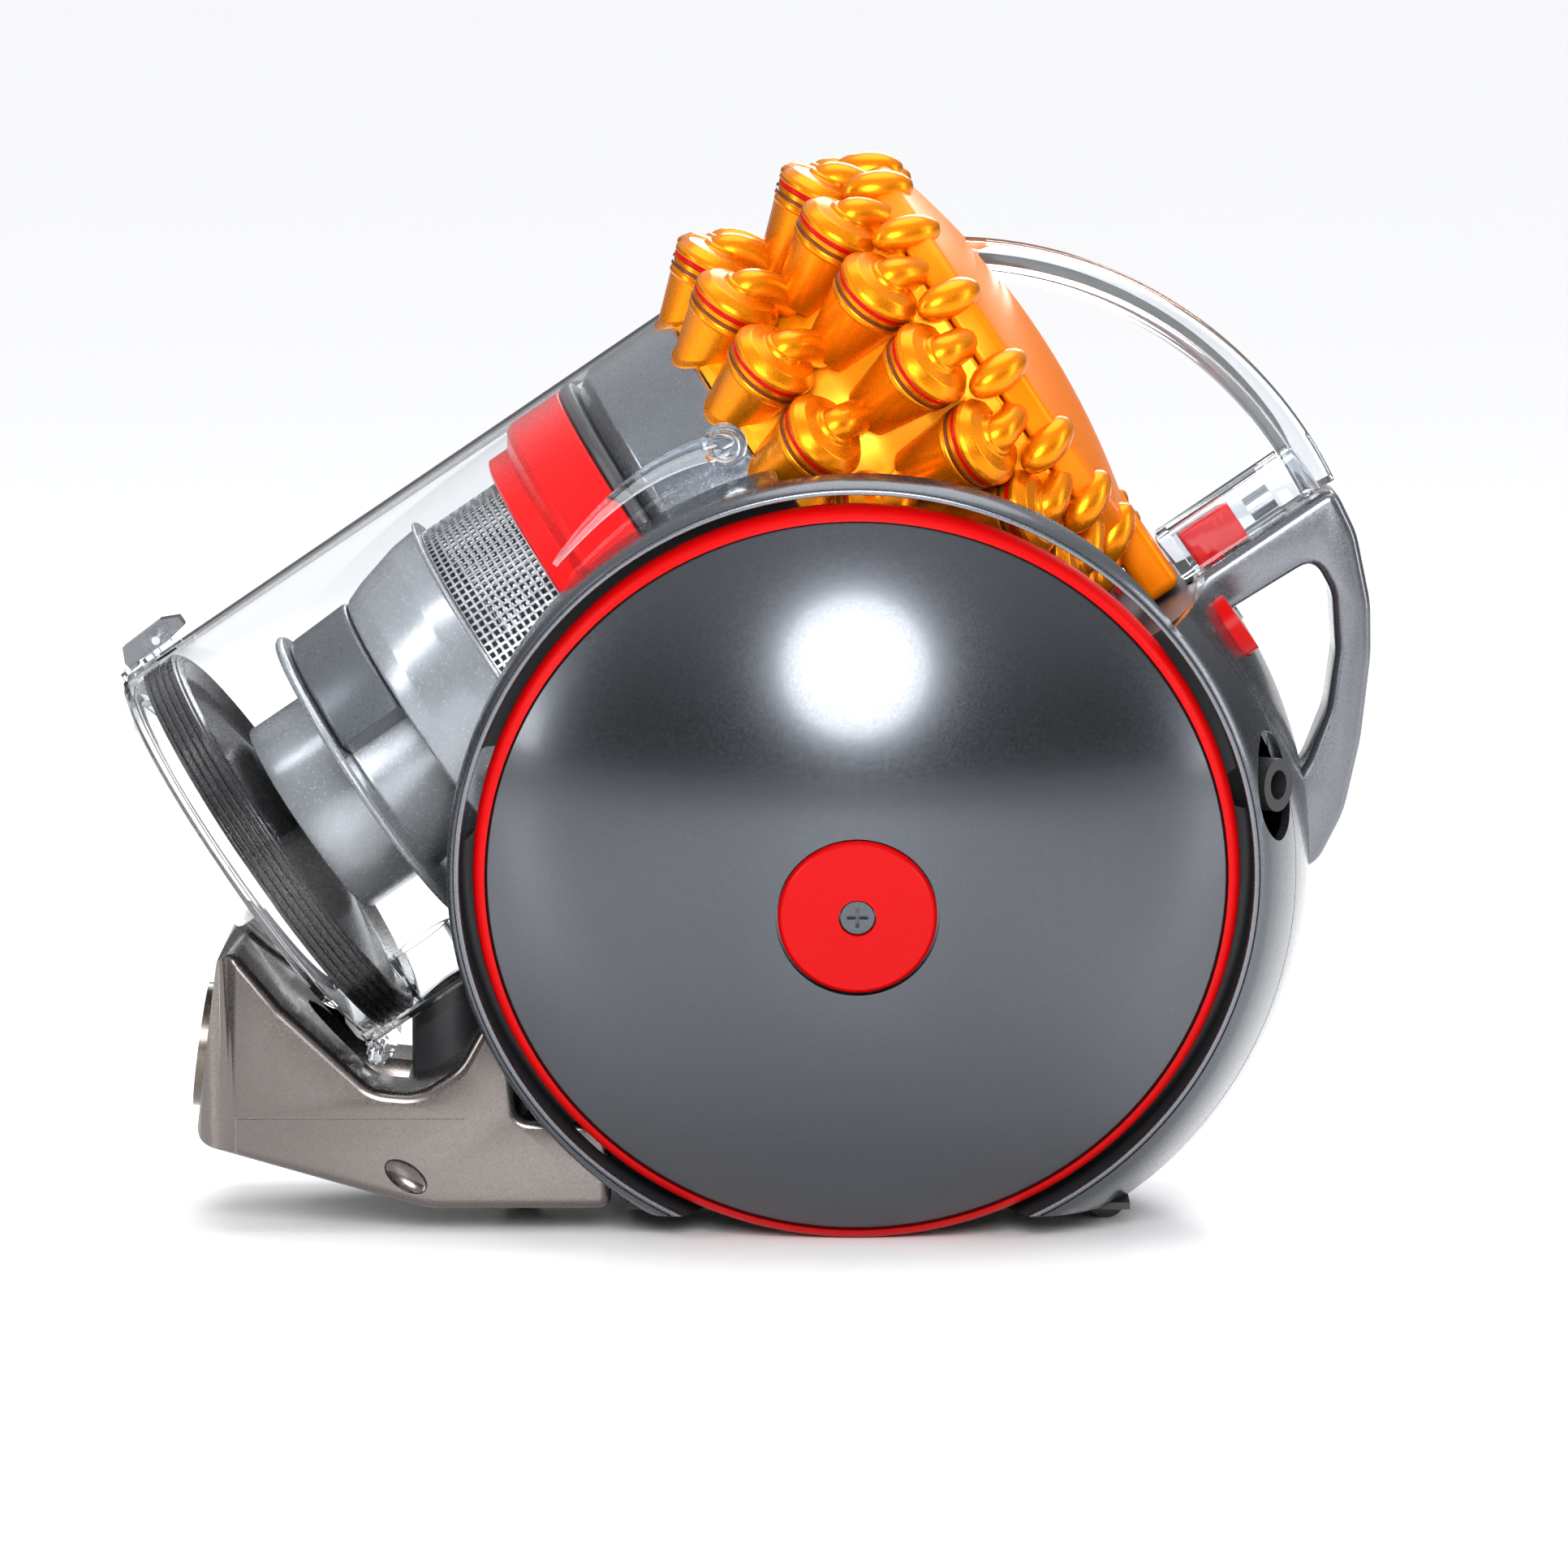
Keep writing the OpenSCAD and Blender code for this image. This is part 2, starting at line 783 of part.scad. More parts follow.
module cap_gaskets() {
    color("#c8101c") for (s = [low_s, high_s], i = [0 : cyclone_count - 1])
        at_cyclone(i, s) translate([0, 0, -1.6]) cylinder(r = cap_r - 1, h = 1.6);
}

module cover_dome(inset) {
    rise = 18;
    sphere_r = (85 * 85 + rise * rise) / (2 * rise);
    intersection() {
        translate([0, 0, cover_s + 4 + rise - sphere_r]) sphere(r = sphere_r - inset);
        translate([0, 0, cover_s + inset]) cylinder(r = 85 - inset, h = 60);
    }
}

module top_cover() {
    color("#d2600a") on_bin() difference() {
        union() {
            cover_dome(0);
            translate([-split_r + gap, -grip_w / 2, cover_s]) cube([60, grip_w, 14]);
        }
        difference() {
            translate([0, 0, -0.01]) cover_dome(2.5);
            translate([-split_r, -grip_w / 2, cover_s]) cube([40, grip_w, 14]);
        }
    }
}

module clear_handle() {
    color("#dfe8ee", 0.4) difference() {
        union() {
            intersection() {
                translate([70, 0, 190]) rotate([90, 0, 0]) translate([0, 0, -grip_w / 2])
                    ring(arc_r, arc_r - arc_t, grip_w);
                on_bin() translate([-split_r + 2 * gap, -50, cover_s + 21.3]) cube([200, 100, 120]);
            }
            on_bin() translate([-split_r + gap, 2 - grip_w / 2, cover_s + 14]) cube([17.5, grip_w - 4, 58]);
        }
        on_bin() translate([-split_r, -9, 324]) cube([15, 18, 36]);
    }
}

module release_catch() {
    color("#c8101c") on_bin() {
        translate([-split_r + 1, -8, 326]) cube([13, 16, 20]);
        translate([-split_r - 3, -4, 329]) cube([5, 8, 6]);
    }
}

module catch_spring() {
    color("#c4c7ca") on_bin() translate([-split_r + 7, 0, 350.5]) ring(4, 2.8, 9.4);
}

ball_shell_left();
ball_shell_right();
belly_plate();
bin_cradle();
rear_handle();
nose_upper();
nose_lower();
hose_socket();
airway_duct();
port_seal();
side_frame_left();
side_frame_right();
axle_left();
axle_right();
wheel_dome_left();
tread_ring_left();
hub_cap_left();
hub_screw_left();
wheel_bush_left();
wheel_dome_right();
tread_ring_right();
hub_cap_right();
hub_screw_right();
wheel_bush_right();
motor_bucket();
motor_stator();
motor_rotor();
motor_bearings();
motor_mounts();
exhaust_filter();
reel_drum();
reel_spindle();
cord_gland();
castor_fork();
castor_wheel();
castor_axle();
rear_roller();
roller_axle();
power_button();
rewind_button();
button_springs();
clear_bin();
bin_seal();
base_flap();
flap_pin();
base_latch();
dust_tube();
shroud_body();
shroud_mesh();
red_ring();
collar();
cyclone_core();
lower_cyclones();
upper_cyclones();
cyclone_caps();
cap_gaskets();
top_cover();
clear_handle();
release_catch();
catch_spring();
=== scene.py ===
# %% [markdown]
# # A canister vacuum cleaner on two domed wheels
#
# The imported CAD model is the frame: it holds every size and every joint. This lesson dresses it. Smooth
# shells, clear plastic and the crowd of orange cyclones are modelled here with bmesh, and each piece rides
# on the CAD body that carries it on the real machine.

# %% Load the frame
import json
import math

import bmesh
import bpy
from mathutils import Matrix, Vector


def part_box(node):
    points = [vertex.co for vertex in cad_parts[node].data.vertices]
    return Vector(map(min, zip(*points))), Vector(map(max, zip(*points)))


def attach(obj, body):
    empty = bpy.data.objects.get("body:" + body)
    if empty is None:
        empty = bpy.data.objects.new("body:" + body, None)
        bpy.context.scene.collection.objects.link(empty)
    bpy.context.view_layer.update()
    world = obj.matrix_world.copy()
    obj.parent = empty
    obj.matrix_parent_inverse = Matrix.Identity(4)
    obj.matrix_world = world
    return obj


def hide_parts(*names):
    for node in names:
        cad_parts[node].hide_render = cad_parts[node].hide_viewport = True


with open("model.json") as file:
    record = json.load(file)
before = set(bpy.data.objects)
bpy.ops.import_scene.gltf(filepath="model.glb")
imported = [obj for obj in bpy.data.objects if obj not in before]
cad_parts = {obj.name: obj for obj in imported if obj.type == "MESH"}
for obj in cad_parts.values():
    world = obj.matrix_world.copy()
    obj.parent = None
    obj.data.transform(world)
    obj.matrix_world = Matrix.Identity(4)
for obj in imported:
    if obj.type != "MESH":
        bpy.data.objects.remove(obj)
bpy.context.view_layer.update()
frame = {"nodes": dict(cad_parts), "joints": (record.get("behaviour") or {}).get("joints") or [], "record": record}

# %% [markdown]
# ## Working axes
#
# Three parts of the machine have axes of their own. The wheels lean, so each turns about a tilted axle. The
# bin and its cyclones sit on a line that rises to the rear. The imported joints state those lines, so they
# are read from the record and not typed again.

# %% Axes from the joints
MM = 0.001
joints = {joint["name"]: joint for joint in frame["joints"]}


def axes_at(origin, z_axis, x_hint):
    """Matrix that carries a piece modelled about its own z axis to a place on the machine."""
    z = Vector(z_axis).normalized()
    x = Vector(x_hint)
    x = (x - z * x.dot(z)).normalized()
    y = z.cross(x)
    turned = Matrix((x, y, z)).transposed().to_4x4()
    return Matrix.Translation(origin) @ turned


def wheel_axes(side):
    """Axes of one wheel: z points out along its axle, from the point where the joint sits."""
    joint = joints[f"wheel_{side}_spin"]
    return axes_at(joint["pos_m"], joint["axis"], (1, 0, 0))


wheel_left, wheel_right = wheel_axes("left"), wheel_axes("right")
WHEELS = (("left", wheel_left), ("right", wheel_right))
lift = Vector(joints["pack_lift"]["axis"])
bin_axis = Vector(joints["release_catch_slide"]["axis"])
hinge = joints["base_flap_hinge"]["pos_m"]
BIN_R = 76.5
PIN_UP, PIN_ALONG = -79.8, -2.5  # the flap's pin, from the middle of the bin's base
bin_origin = Vector(hinge) - lift * PIN_UP * MM - bin_axis * PIN_ALONG * MM
BIN = axes_at(bin_origin, bin_axis, lift)
print("bin starts at", [round(value, 4) for value in bin_origin])

# %% [markdown]
# ## Small helpers
#
# Most moulded parts here are bodies of revolution, so one helper spins an outline of radius and height in
# millimetres into a closed skin. Rounded corners are drawn into the outline before it is spun. Plates and
# blocks get their rounded edges from the bevel operator.

# %% Mesh helpers
def new_piece(name, bm, place=None, smooth=40):
    """A mesh object at the origin, with its place in its mesh and its faces turned outwards."""
    bmesh.ops.remove_doubles(bm, verts=bm.verts, dist=1e-6)
    bmesh.ops.recalc_face_normals(bm, faces=bm.faces)
    bmesh.ops.scale(bm, vec=(MM, MM, MM), verts=bm.verts)
    if place is not None:
        bmesh.ops.transform(bm, matrix=place, verts=bm.verts)
    mesh = bpy.data.meshes.new(name)
    bm.to_mesh(mesh)
    bm.free()
    piece = bpy.data.objects.new(name, mesh)
    bpy.context.scene.collection.objects.link(piece)
    mesh.shade_smooth()
    mesh.set_sharp_from_angle(angle=math.radians(smooth))
    return piece


def fillet(corners, steps=5):
    """Outline whose corners (a, b, radius) are rounded to about that radius."""
    outline = []
    count = len(corners)
    for i, (a, b, radius) in enumerate(corners):
        here = Vector((a, b))
        before = Vector(corners[i - 1][:2]) - here
        after = Vector(corners[(i + 1) % count][:2]) - here
        if radius <= 0 or before.length < 1e-6 or after.length < 1e-6:
            outline.append((a, b))
            continue
        half = before.angle(after) / 2
        reach = min(radius / math.tan(half), before.length * 0.48, after.length * 0.48)
        start = here + before.normalized() * reach
        end = here + after.normalized() * reach
        for step in range(steps + 1):
            t = step / steps
            point = start * (1 - t) ** 2 + here * 2 * t * (1 - t) + end * t * t
            outline.append((point.x, point.y))
    return outline


def lathe(corners, turns=128, angle=360, round_steps=5):
    """Skin spun about z from a closed outline of (radius, height, corner radius), in millimetres."""
    bm = bmesh.new()
    points = [bm.verts.new((r, 0, z)) for r, z in fillet(corners, round_steps)]
    edges = [bm.edges.new((points[i - 1], points[i])) for i in range(len(points))]
    bmesh.ops.spin(bm, geom=points + edges, cent=(0, 0, 0), axis=(0, 0, 1), dvec=(0, 0, 0),
                   angle=math.radians(angle), steps=turns, use_merge=angle == 360, use_duplicate=False)
    if angle == 360:
        bmesh.ops.remove_doubles(bm, verts=bm.verts, dist=0.002)
    return bm


def push_out(bm, way):
    """Extrudes a flat face along the way."""
    grown = bmesh.ops.extrude_face_region(bm, geom=bm.faces[:])["geom"]
    bmesh.ops.translate(bm, verts=[v for v in grown if isinstance(v, bmesh.types.BMVert)], vec=way)


def slab(corners, depth, round_steps=5):
    """Plate whose outline lies in x and z, as deep as said along y."""
    bm = bmesh.new()
    bm.faces.new([bm.verts.new((x, -depth / 2, z)) for x, z in fillet(corners, round_steps)])
    push_out(bm, (0, depth, 0))
    bmesh.ops.recalc_face_normals(bm, faces=bm.faces)
    return bm


def brick(size, centre):
    """Box in millimetres."""
    bm = bmesh.new()
    bmesh.ops.create_cube(bm, size=1)
    bmesh.ops.scale(bm, vec=size, verts=bm.verts)
    bmesh.ops.translate(bm, vec=centre, verts=bm.verts)
    return bm


def turn(bm, degrees, axis, verts=None):
    """Turns a mesh, or some of its points, about an axis through the origin."""
    bmesh.ops.rotate(bm, cent=(0, 0, 0), matrix=Matrix.Rotation(math.radians(degrees), 3, axis),
                     verts=verts or bm.verts)


def soften(bm, width, segments=3, angle=30):
    """Rounds every edge sharper than the angle."""
    bm.edges.ensure_lookup_table()
    sharp = [e for e in bm.edges if len(e.link_faces) == 2 and e.calc_face_angle(0) > math.radians(angle)]
    bmesh.ops.bevel(bm, geom=sharp, offset=width, offset_type="OFFSET", segments=segments, profile=0.5,
                    affect="EDGES", clamp_overlap=True, material=-1)
    return bm


def carve(piece, cutters, operation="DIFFERENCE"):
    """Cuts the cutters out of the piece, then throws them away."""
    for cutter in cutters:
        step = piece.modifiers.new("cut", "BOOLEAN")
        step.object = cutter
        step.operation = operation
        step.solver = "EXACT"
        step.use_self = False
    bpy.context.view_layer.update()
    done = piece.evaluated_get(bpy.context.evaluated_depsgraph_get())
    mesh = bpy.data.meshes.new_from_object(done)
    piece.modifiers.clear()
    old = piece.data
    piece.data = mesh
    bpy.data.meshes.remove(old)
    for cutter in cutters:
        bpy.data.objects.remove(cutter)
    piece.data.shade_smooth()
    piece.data.set_sharp_from_angle(angle=math.radians(40))
    return piece


# %% [markdown]
# ## Finishes
#
# Each finish starts from what the real one is. Colours are sRGB hex values turned to linear by one
# function, and a second small function adds any node with its settings and links.

# %% Colour and node helpers
def colour(hex_code):
    """Linear colour of an sRGB hex value."""
    parts = [int(hex_code[i:i + 2], 16) / 255 for i in (1, 3, 5)]
    return tuple(c / 12.92 if c <= 0.04045 else ((c + 0.055) / 1.055) ** 2.4 for c in parts) + (1.0,)


def add(tree, kind, links=None, **values):
    """Adds one node, sets its sockets or properties by name, and links its inputs."""
    made = tree.nodes.new(kind)
    for name, value in values.items():
        socket = made.inputs.get(name.replace("_", " "))
        if socket is not None:
            socket.default_value = value
        else:
            setattr(made, name, value)
    for name, source in (links or {}).items():
        target = made.inputs[name] if isinstance(name, int) else made.inputs[name.replace("_", " ")]
        tree.links.new(source, target)
    return made


def blank(name):
    """New material with an empty node tree."""
    material = bpy.data.materials.new(name)
    material.use_nodes = True
    material.node_tree.nodes.clear()
    return material, material.node_tree


def moulded(name, tint, shade, rough, metal=0.0, flake=0.0, grain_mm=0.9, bump=0.02, coat=0.0,
            coat_rough=0.1, ior=1.5, rough_spread=0.05):
    """Moulded plastic: the tint drifts a little towards the shade, and a fine texture breaks the gloss.

    flake is the strength of the metallic flakes in a pigmented resin, drawn at about 1 mm so they show.
    """
    material, tree = blank(name)
    where = add(tree, "ShaderNodeTexCoord").outputs["Object"]
    cloud = add(tree, "ShaderNodeTexNoise", {"Vector": where}, Scale=9.0, Detail=3.0)
    grain = add(tree, "ShaderNodeTexNoise", {"Vector": where}, Scale=1 / (grain_mm * MM), Detail=2.0)
    mixed = add(tree, "ShaderNodeMixRGB", {"Fac": cloud.outputs["Fac"]}, Color1=colour(tint),
                Color2=colour(shade))
    out_colour = mixed.outputs["Color"]
    if flake:
        spark = add(tree, "ShaderNodeTexVoronoi", {"Vector": where}, Scale=1 / (0.8 * MM))
        ramp = add(tree, "ShaderNodeMapRange", {"Value": spark.outputs["Color"]}, From_Min=0.35,
                   From_Max=1.0, To_Min=1 - flake, To_Max=1 + flake)
        out_colour = add(tree, "ShaderNodeVectorMath", {0: out_colour, "Scale": ramp.outputs["Result"]},
                         operation="SCALE").outputs["Vector"]
    rough_map = add(tree, "ShaderNodeMapRange", {"Value": grain.outputs["Fac"]}, From_Min=0.3, From_Max=0.7,
                    To_Min=rough - rough_spread, To_Max=rough + rough_spread)
    bumped = add(tree, "ShaderNodeBump", {"Height": grain.outputs["Fac"]}, Strength=bump, Distance=0.0003)
    surface = add(tree, "ShaderNodeBsdfPrincipled",
                  {"Base_Color": out_colour, "Roughness": rough_map.outputs["Result"],
                   "Normal": bumped.outputs["Normal"]},
                  Metallic=metal, IOR=ior, Coat_Weight=coat, Coat_Roughness=coat_rough)
    add(tree, "ShaderNodeOutputMaterial", {"Surface": surface.outputs["BSDF"]})
    return material


def spun_metal(name, tint, shade, rough, ring_mm=0.5, bump=0.05):
    """Turned or rolled metal: fine bands across z, as a lathe or a rolling mill leaves them."""
    material, tree = blank(name)
    where = add(tree, "ShaderNodeTexCoord").outputs["Object"]
    drift = add(tree, "ShaderNodeTexNoise", {"Vector": where}, Scale=14.0, Detail=2.0)
    rings = add(tree, "ShaderNodeTexWave", {"Vector": where}, Scale=1 / (ring_mm * MM) / 6.28,
                Distortion=2.0, Detail=2.0, bands_direction="Z")
    mixed = add(tree, "ShaderNodeMixRGB", {"Fac": drift.outputs["Fac"]}, Color1=colour(tint),
                Color2=colour(shade))
    spread = add(tree, "ShaderNodeMapRange", {"Value": rings.outputs["Fac"]}, To_Min=rough - 0.04,
                 To_Max=rough + 0.05)
    bumped = add(tree, "ShaderNodeBump", {"Height": rings.outputs["Fac"]}, Strength=bump, Distance=0.0001)
    surface = add(tree, "ShaderNodeBsdfPrincipled",
                  {"Base_Color": mixed.outputs["Color"], "Roughness": spread.outputs["Result"],
                   "Normal": bumped.outputs["Normal"]}, Metallic=1.0)
    add(tree, "ShaderNodeOutputMaterial", {"Surface": surface.outputs["BSDF"]})
    return material


def clear_plastic(name, tint, rough=0.03, ior=1.35):
    """Moulded polycarbonate: clear with a cool tint and faint flow lines, and it lets lamps through."""
    material, tree = blank(name)
    where = add(tree, "ShaderNodeTexCoord").outputs["Object"]
    flow = add(tree, "ShaderNodeTexNoise", {"Vector": where}, Scale=35.0, Detail=2.0)
    spread = add(tree, "ShaderNodeMapRange", {"Value": flow.outputs["Fac"]}, To_Min=rough * 0.5,
                 To_Max=rough * 1.6)
    glass = add(tree, "ShaderNodeBsdfPrincipled", {"Roughness": spread.outputs["Result"]},
                Base_Color=colour(tint), IOR=ior, Transmission_Weight=1.0)
    through = add(tree, "ShaderNodeBsdfTransparent", Color=colour(tint))
    ray = add(tree, "ShaderNodeLightPath")
    both = add(tree, "ShaderNodeMixShader",
               {"Fac": ray.outputs["Is Shadow Ray"], 1: glass.outputs["BSDF"], 2: through.outputs["BSDF"]})
    add(tree, "ShaderNodeOutputMaterial", {"Surface": both.outputs["Shader"]})
    return material


def dress(piece, material):
    """Gives the piece this one material."""
    piece.data.materials.clear()
    piece.data.materials.append(material)
    return piece


# %% [markdown]
# The shells and wheels are ABS loaded with metallic flake, moulded and left glossy, so they are built as a
# metal with a soft roughness and a thin clear coat. The orange cyclones are polypropylene with the same
# kind of flake. The bin is polycarbonate, which is clear and a little cool. A low index of refraction on the
# red and orange pieces keeps white glare off them, so their colour stays deep.

# %% Finishes
iron = moulded("Flaked ABS, iron grey", "#55585d", "#4b4e53", 0.28, metal=0.9, flake=0.05, coat=0.4,
               coat_rough=0.1, bump=0.008)
wheel_gloss = moulded("Flaked ABS, dark polished", "#4c4f54", "#46494e", 0.24, metal=0.95, flake=0.05,
                      coat=0.4, coat_rough=0.12, bump=0.01, rough_spread=0.03)
handle_iron = moulded("Flaked ABS, mid grey", "#6d6f74", "#63656a", 0.26, metal=0.85, flake=0.05, coat=0.3,
                      bump=0.008)
nickel = moulded("Flaked ABS, nickel", "#6b6562", "#605a57", 0.25, metal=0.95, flake=0.04, coat=0.4,
                 coat_rough=0.1, bump=0.006)
orange = moulded("Flaked polypropylene, orange", "#df8004", "#d27402", 0.29, metal=0.72, ior=1.3,
                 flake=0.03, bump=0.006)
orange_bright = moulded("Flaked polypropylene, bright skin", "#f8a406", "#f29a04", 0.34, metal=0.6,
                        flake=0.04, bump=0.006)
orange_smooth = moulded("Polished polypropylene, orange", "#e87800", "#de7000", 0.34, metal=0.35, ior=1.2,
                        flake=0.03, bump=0.005)
# Painted shade: the brown ring under each cap is the cone's orange darkened where the cap shades it.
cap_shade_brown = moulded("Painted shade under caps, brown", "#6b2c04", "#5a2403", 0.4, metal=0.4, flake=0.05)
silver = moulded("Flaked ABS, silver grey", "#73767a", "#686b70", 0.24, metal=0.9, flake=0.03, coat=0.3,
                 bump=0.006)
red_gloss = moulded("Polished ABS, red", "#b20206", "#a20204", 0.32, ior=1.2)
red_soft = moulded("Soft tread compound, red", "#ba0406", "#aa0304", 0.42, ior=1.2, bump=0.03)
red_metal = moulded("Flaked ABS, red", "#c20608", "#b00406", 0.3, metal=0.45, ior=1.2, flake=0.03,
                    bump=0.006)
dark_plastic = moulded("Textured polypropylene, charcoal", "#2c2d30", "#232427", 0.5, bump=0.12)
inner_plastic = moulded("Flaked ABS, inner grey", "#8a8d91", "#7c7f83", 0.24, metal=0.6, flake=0.03,
                        bump=0.006)
inner_dark = moulded("Flaked ABS, dark grey", "#4c4f53", "#424549", 0.3, metal=0.6, flake=0.03, bump=0.006)
pale_plastic = moulded("Acetal, natural white", "#d8d4c8", "#cbc6b8", 0.4)
rubber = moulded("Moulded rubber, black", "#131315", "#1b1b1d", 0.45, bump=0.08)
rubber_gloss = moulded("Moulded silicone, black", "#0c0c0d", "#141415", 0.25, bump=0.006)
nickel_dark = moulded("Flaked ABS, dark nickel", "#6f6860", "#655f57", 0.3, metal=0.9, flake=0.08, coat=0.3)
filter_felt = moulded("Pleated filter felt", "#e6e4dc", "#d8d5ca", 0.85, grain_mm=1.6, bump=0.4)
magnet_steel = spun_metal("Laminated electrical steel", "#6a6c70", "#5c5e62", 0.4, ring_mm=0.8)
bright_steel = spun_metal("Turned steel", "#c8cacd", "#b4b6ba", 0.22)
copper = spun_metal("Wound copper", "#c96a3a", "#b45a2e", 0.35, ring_mm=0.7, bump=0.2)
mesh_metal = spun_metal("Etched stainless sheet", "#b9bbbe", "#a6a8ab", 0.3, ring_mm=1.2)
clear = clear_plastic("Polycarbonate, clear", "#fcfdfe", rough=0.015, ior=1.2)
clear_tail = clear_plastic("Polycarbonate, clear, thick", "#eef2f6", rough=0.04, ior=1.4)

FINISH = {
    iron: ["ball_shell_left", "ball_shell_right"],
    handle_iron: ["rear_handle", "rewind_button"],
    nickel: ["nose_upper", "nose_lower"],
    dark_plastic: ["belly_plate", "bin_cradle", "side_frame_left", "side_frame_right", "airway_duct",
                   "hose_socket", "motor_bucket", "castor_fork", "reel_spindle"],
    rubber: ["port_seal", "motor_mounts", "cord_gland", "bin_seal", "castor_wheel", "rear_roller"],
    wheel_gloss: ["wheel_dome_left", "wheel_dome_right"],
    red_soft: ["tread_ring_left", "tread_ring_right"],
    red_gloss: ["hub_cap_left", "hub_cap_right", "power_button", "release_catch", "cap_gaskets"],
    red_metal: ["red_ring"],
    pale_plastic: ["wheel_bush_left", "wheel_bush_right", "reel_drum"],
    bright_steel: ["axle_left", "axle_right", "castor_axle", "roller_axle", "flap_pin", "catch_spring",
                   "motor_bearings", "button_springs"],
    magnet_steel: ["motor_stator"],
    inner_dark: ["hub_screw_left", "hub_screw_right"],
    copper: ["motor_rotor"],
    filter_felt: ["exhaust_filter"],
    clear: ["clear_bin", "base_flap"],
    clear_tail: ["clear_handle"],
    inner_plastic: ["dust_tube", "shroud_body"],
    mesh_metal: ["shroud_mesh"],
    silver: ["collar", "base_latch"],
    orange_bright: ["cyclone_core"],
    orange: ["lower_cyclones", "upper_cyclones", "cyclone_caps", "top_cover"],
}
for finish, names in FINISH.items():
    for name in names:
        dress(frame["nodes"][name], finish)
print(len(FINISH), "finishes on", sum(len(names) for names in FINISH.values()), "CAD nodes")


# %% [markdown]
# ## Ball shell
#
# The shell is the body of the machine: a barrel between the two wheels whose edge wraps each wheel. It could
# be a scaled sphere, but the wheels lean, so its rim circles lie in tilted planes. Circles are placed from
# one rim to the other and bridged, then the skin gets its wall and the bin, wheels and openings are cut out.

# %% Rings of the shell
BALL_X, BALL_R, WALL = 48.6, 145, 3
RIM_R, CAMBER, SIDES = 135.6, 10, 144
to_mm = Matrix.Scale(1000, 4)


def shell_ring(bm, share):
    """One circle of the shell: share runs from -1, the left rim, to 1, the right rim."""
    ring = bmesh.ops.create_circle(bm, cap_ends=False, segments=SIDES, radius=1)["verts"]
    side = wheel_left if share < 0 else wheel_right
    hub = to_mm @ side.translation
    tilt = math.radians(CAMBER) * abs(share)
    outward = -1 if share < 0 else 1
    swell = math.sqrt(1 - abs(share) ** 2.4)
    radius = RIM_R + (BALL_R - RIM_R) * swell
    centre = Vector((hub.x + (BALL_X - hub.x) * (1 - abs(share) ** 2), hub.y * abs(share), hub.z))
    for v in ring:
        angle = math.atan2(v.co.y, v.co.x)
        v.co = centre + Vector((math.cos(angle) * radius,
                                outward * radius * math.sin(angle) * math.sin(tilt),
                                math.sin(angle) * radius * math.cos(tilt)))
    return ring


shell = bmesh.new()
shares = [-1, -0.985, -0.95, -0.88, -0.76, -0.6, -0.4, -0.2, 0, 0.2, 0.4, 0.6, 0.76, 0.88, 0.95, 0.985, 1]
rings = [shell_ring(shell, share) for share in shares]
for low, high in zip(rings, rings[1:]):
    low_edges = [e for e in shell.edges if e.verts[0] in low and e.verts[1] in low]
    high_edges = [e for e in shell.edges if e.verts[0] in high and e.verts[1] in high]
    bmesh.ops.bridge_loops(shell, edges=low_edges + high_edges)
bmesh.ops.recalc_face_normals(shell, faces=shell.faces)
print("shell rings", len(rings), "faces", len(shell.faces))
bmesh.ops.solidify(shell, geom=shell.faces[:], thickness=WALL)
ball_shell = new_piece("ball_shell", shell)


# %% [markdown]
# Openings are cut with closed blocks and cylinders. The bin, the head and the floor clear more than one piece, so
# each of those cutters has a function of its own.

# %% Cutters
def block(name, size, centre, place=None):
    """Box piece in millimetres, in the axes of its place."""
    return new_piece(name, brick(size, centre), place)


def rod(name, radius, low, high, place=None, sides=96, at=(0, 0)):
    """Cutter cylinder in millimetres, along z of its place."""
    bm = bmesh.new()
    bmesh.ops.create_cone(bm, cap_ends=True, segments=sides, radius1=radius, radius2=radius,
                          depth=high - low)
    bmesh.ops.translate(bm, vec=(at[0], at[1], (low + high) / 2), verts=bm.verts)
    return new_piece(name, bm, place)


def flank(radius, low, high, place, reach=300):
    """Cutter for what lifts off: a cylinder swept along the way the pack lifts."""
    bm = bmesh.new()
    bmesh.ops.create_circle(bm, cap_ends=True, segments=96, radius=radius)
    push_out(bm, (0, 0, high - low))
    for v in bm.verts:
        v.co.z += low
        if v.co.x > 0:
            v.co.x += reach
    return new_piece("cutter", bm, place)


CLEAR = 1.2
HEAD_DOWN, HEAD_START = -101.2, 227.8
GROUND_GAP = 8


def bin_space():
    """What the bin fills as it lifts out."""
    return flank(BIN_R + CLEAR, -70, 231, BIN)


def head_space():
    """What the orange head and the handle fill as they lift."""
    up, along = 420, 262
    return block("cutter", (up, 202, along), (HEAD_DOWN + up / 2, 0, HEAD_START + along / 2), BIN)


def ground_space():
    """Everything lower than the gap under the body."""
    deep = 68
    return block("cutter", (500, 400, deep), (50, 0, GROUND_GAP - deep / 2))


castor_post = joints["castor_swivel"]["pos_m"]
CASTOR = axes_at((castor_post[0], 0, castor_post[2]), (0, 0, 1), (1, 0, 0))
ROLLER_X = joints["roller_spin"]["pos_m"][0] * 1000


def castor_space(high):
    """Well of the castor, up to a height above its joint."""
    return rod("cutter", 19.5, -30, high, CASTOR, 64)


print("castor", [round(value, 4) for value in castor_post], "roller x", round(ROLLER_X, 1))

# %% [markdown]
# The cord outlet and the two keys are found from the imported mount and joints, so their holes stay on them.

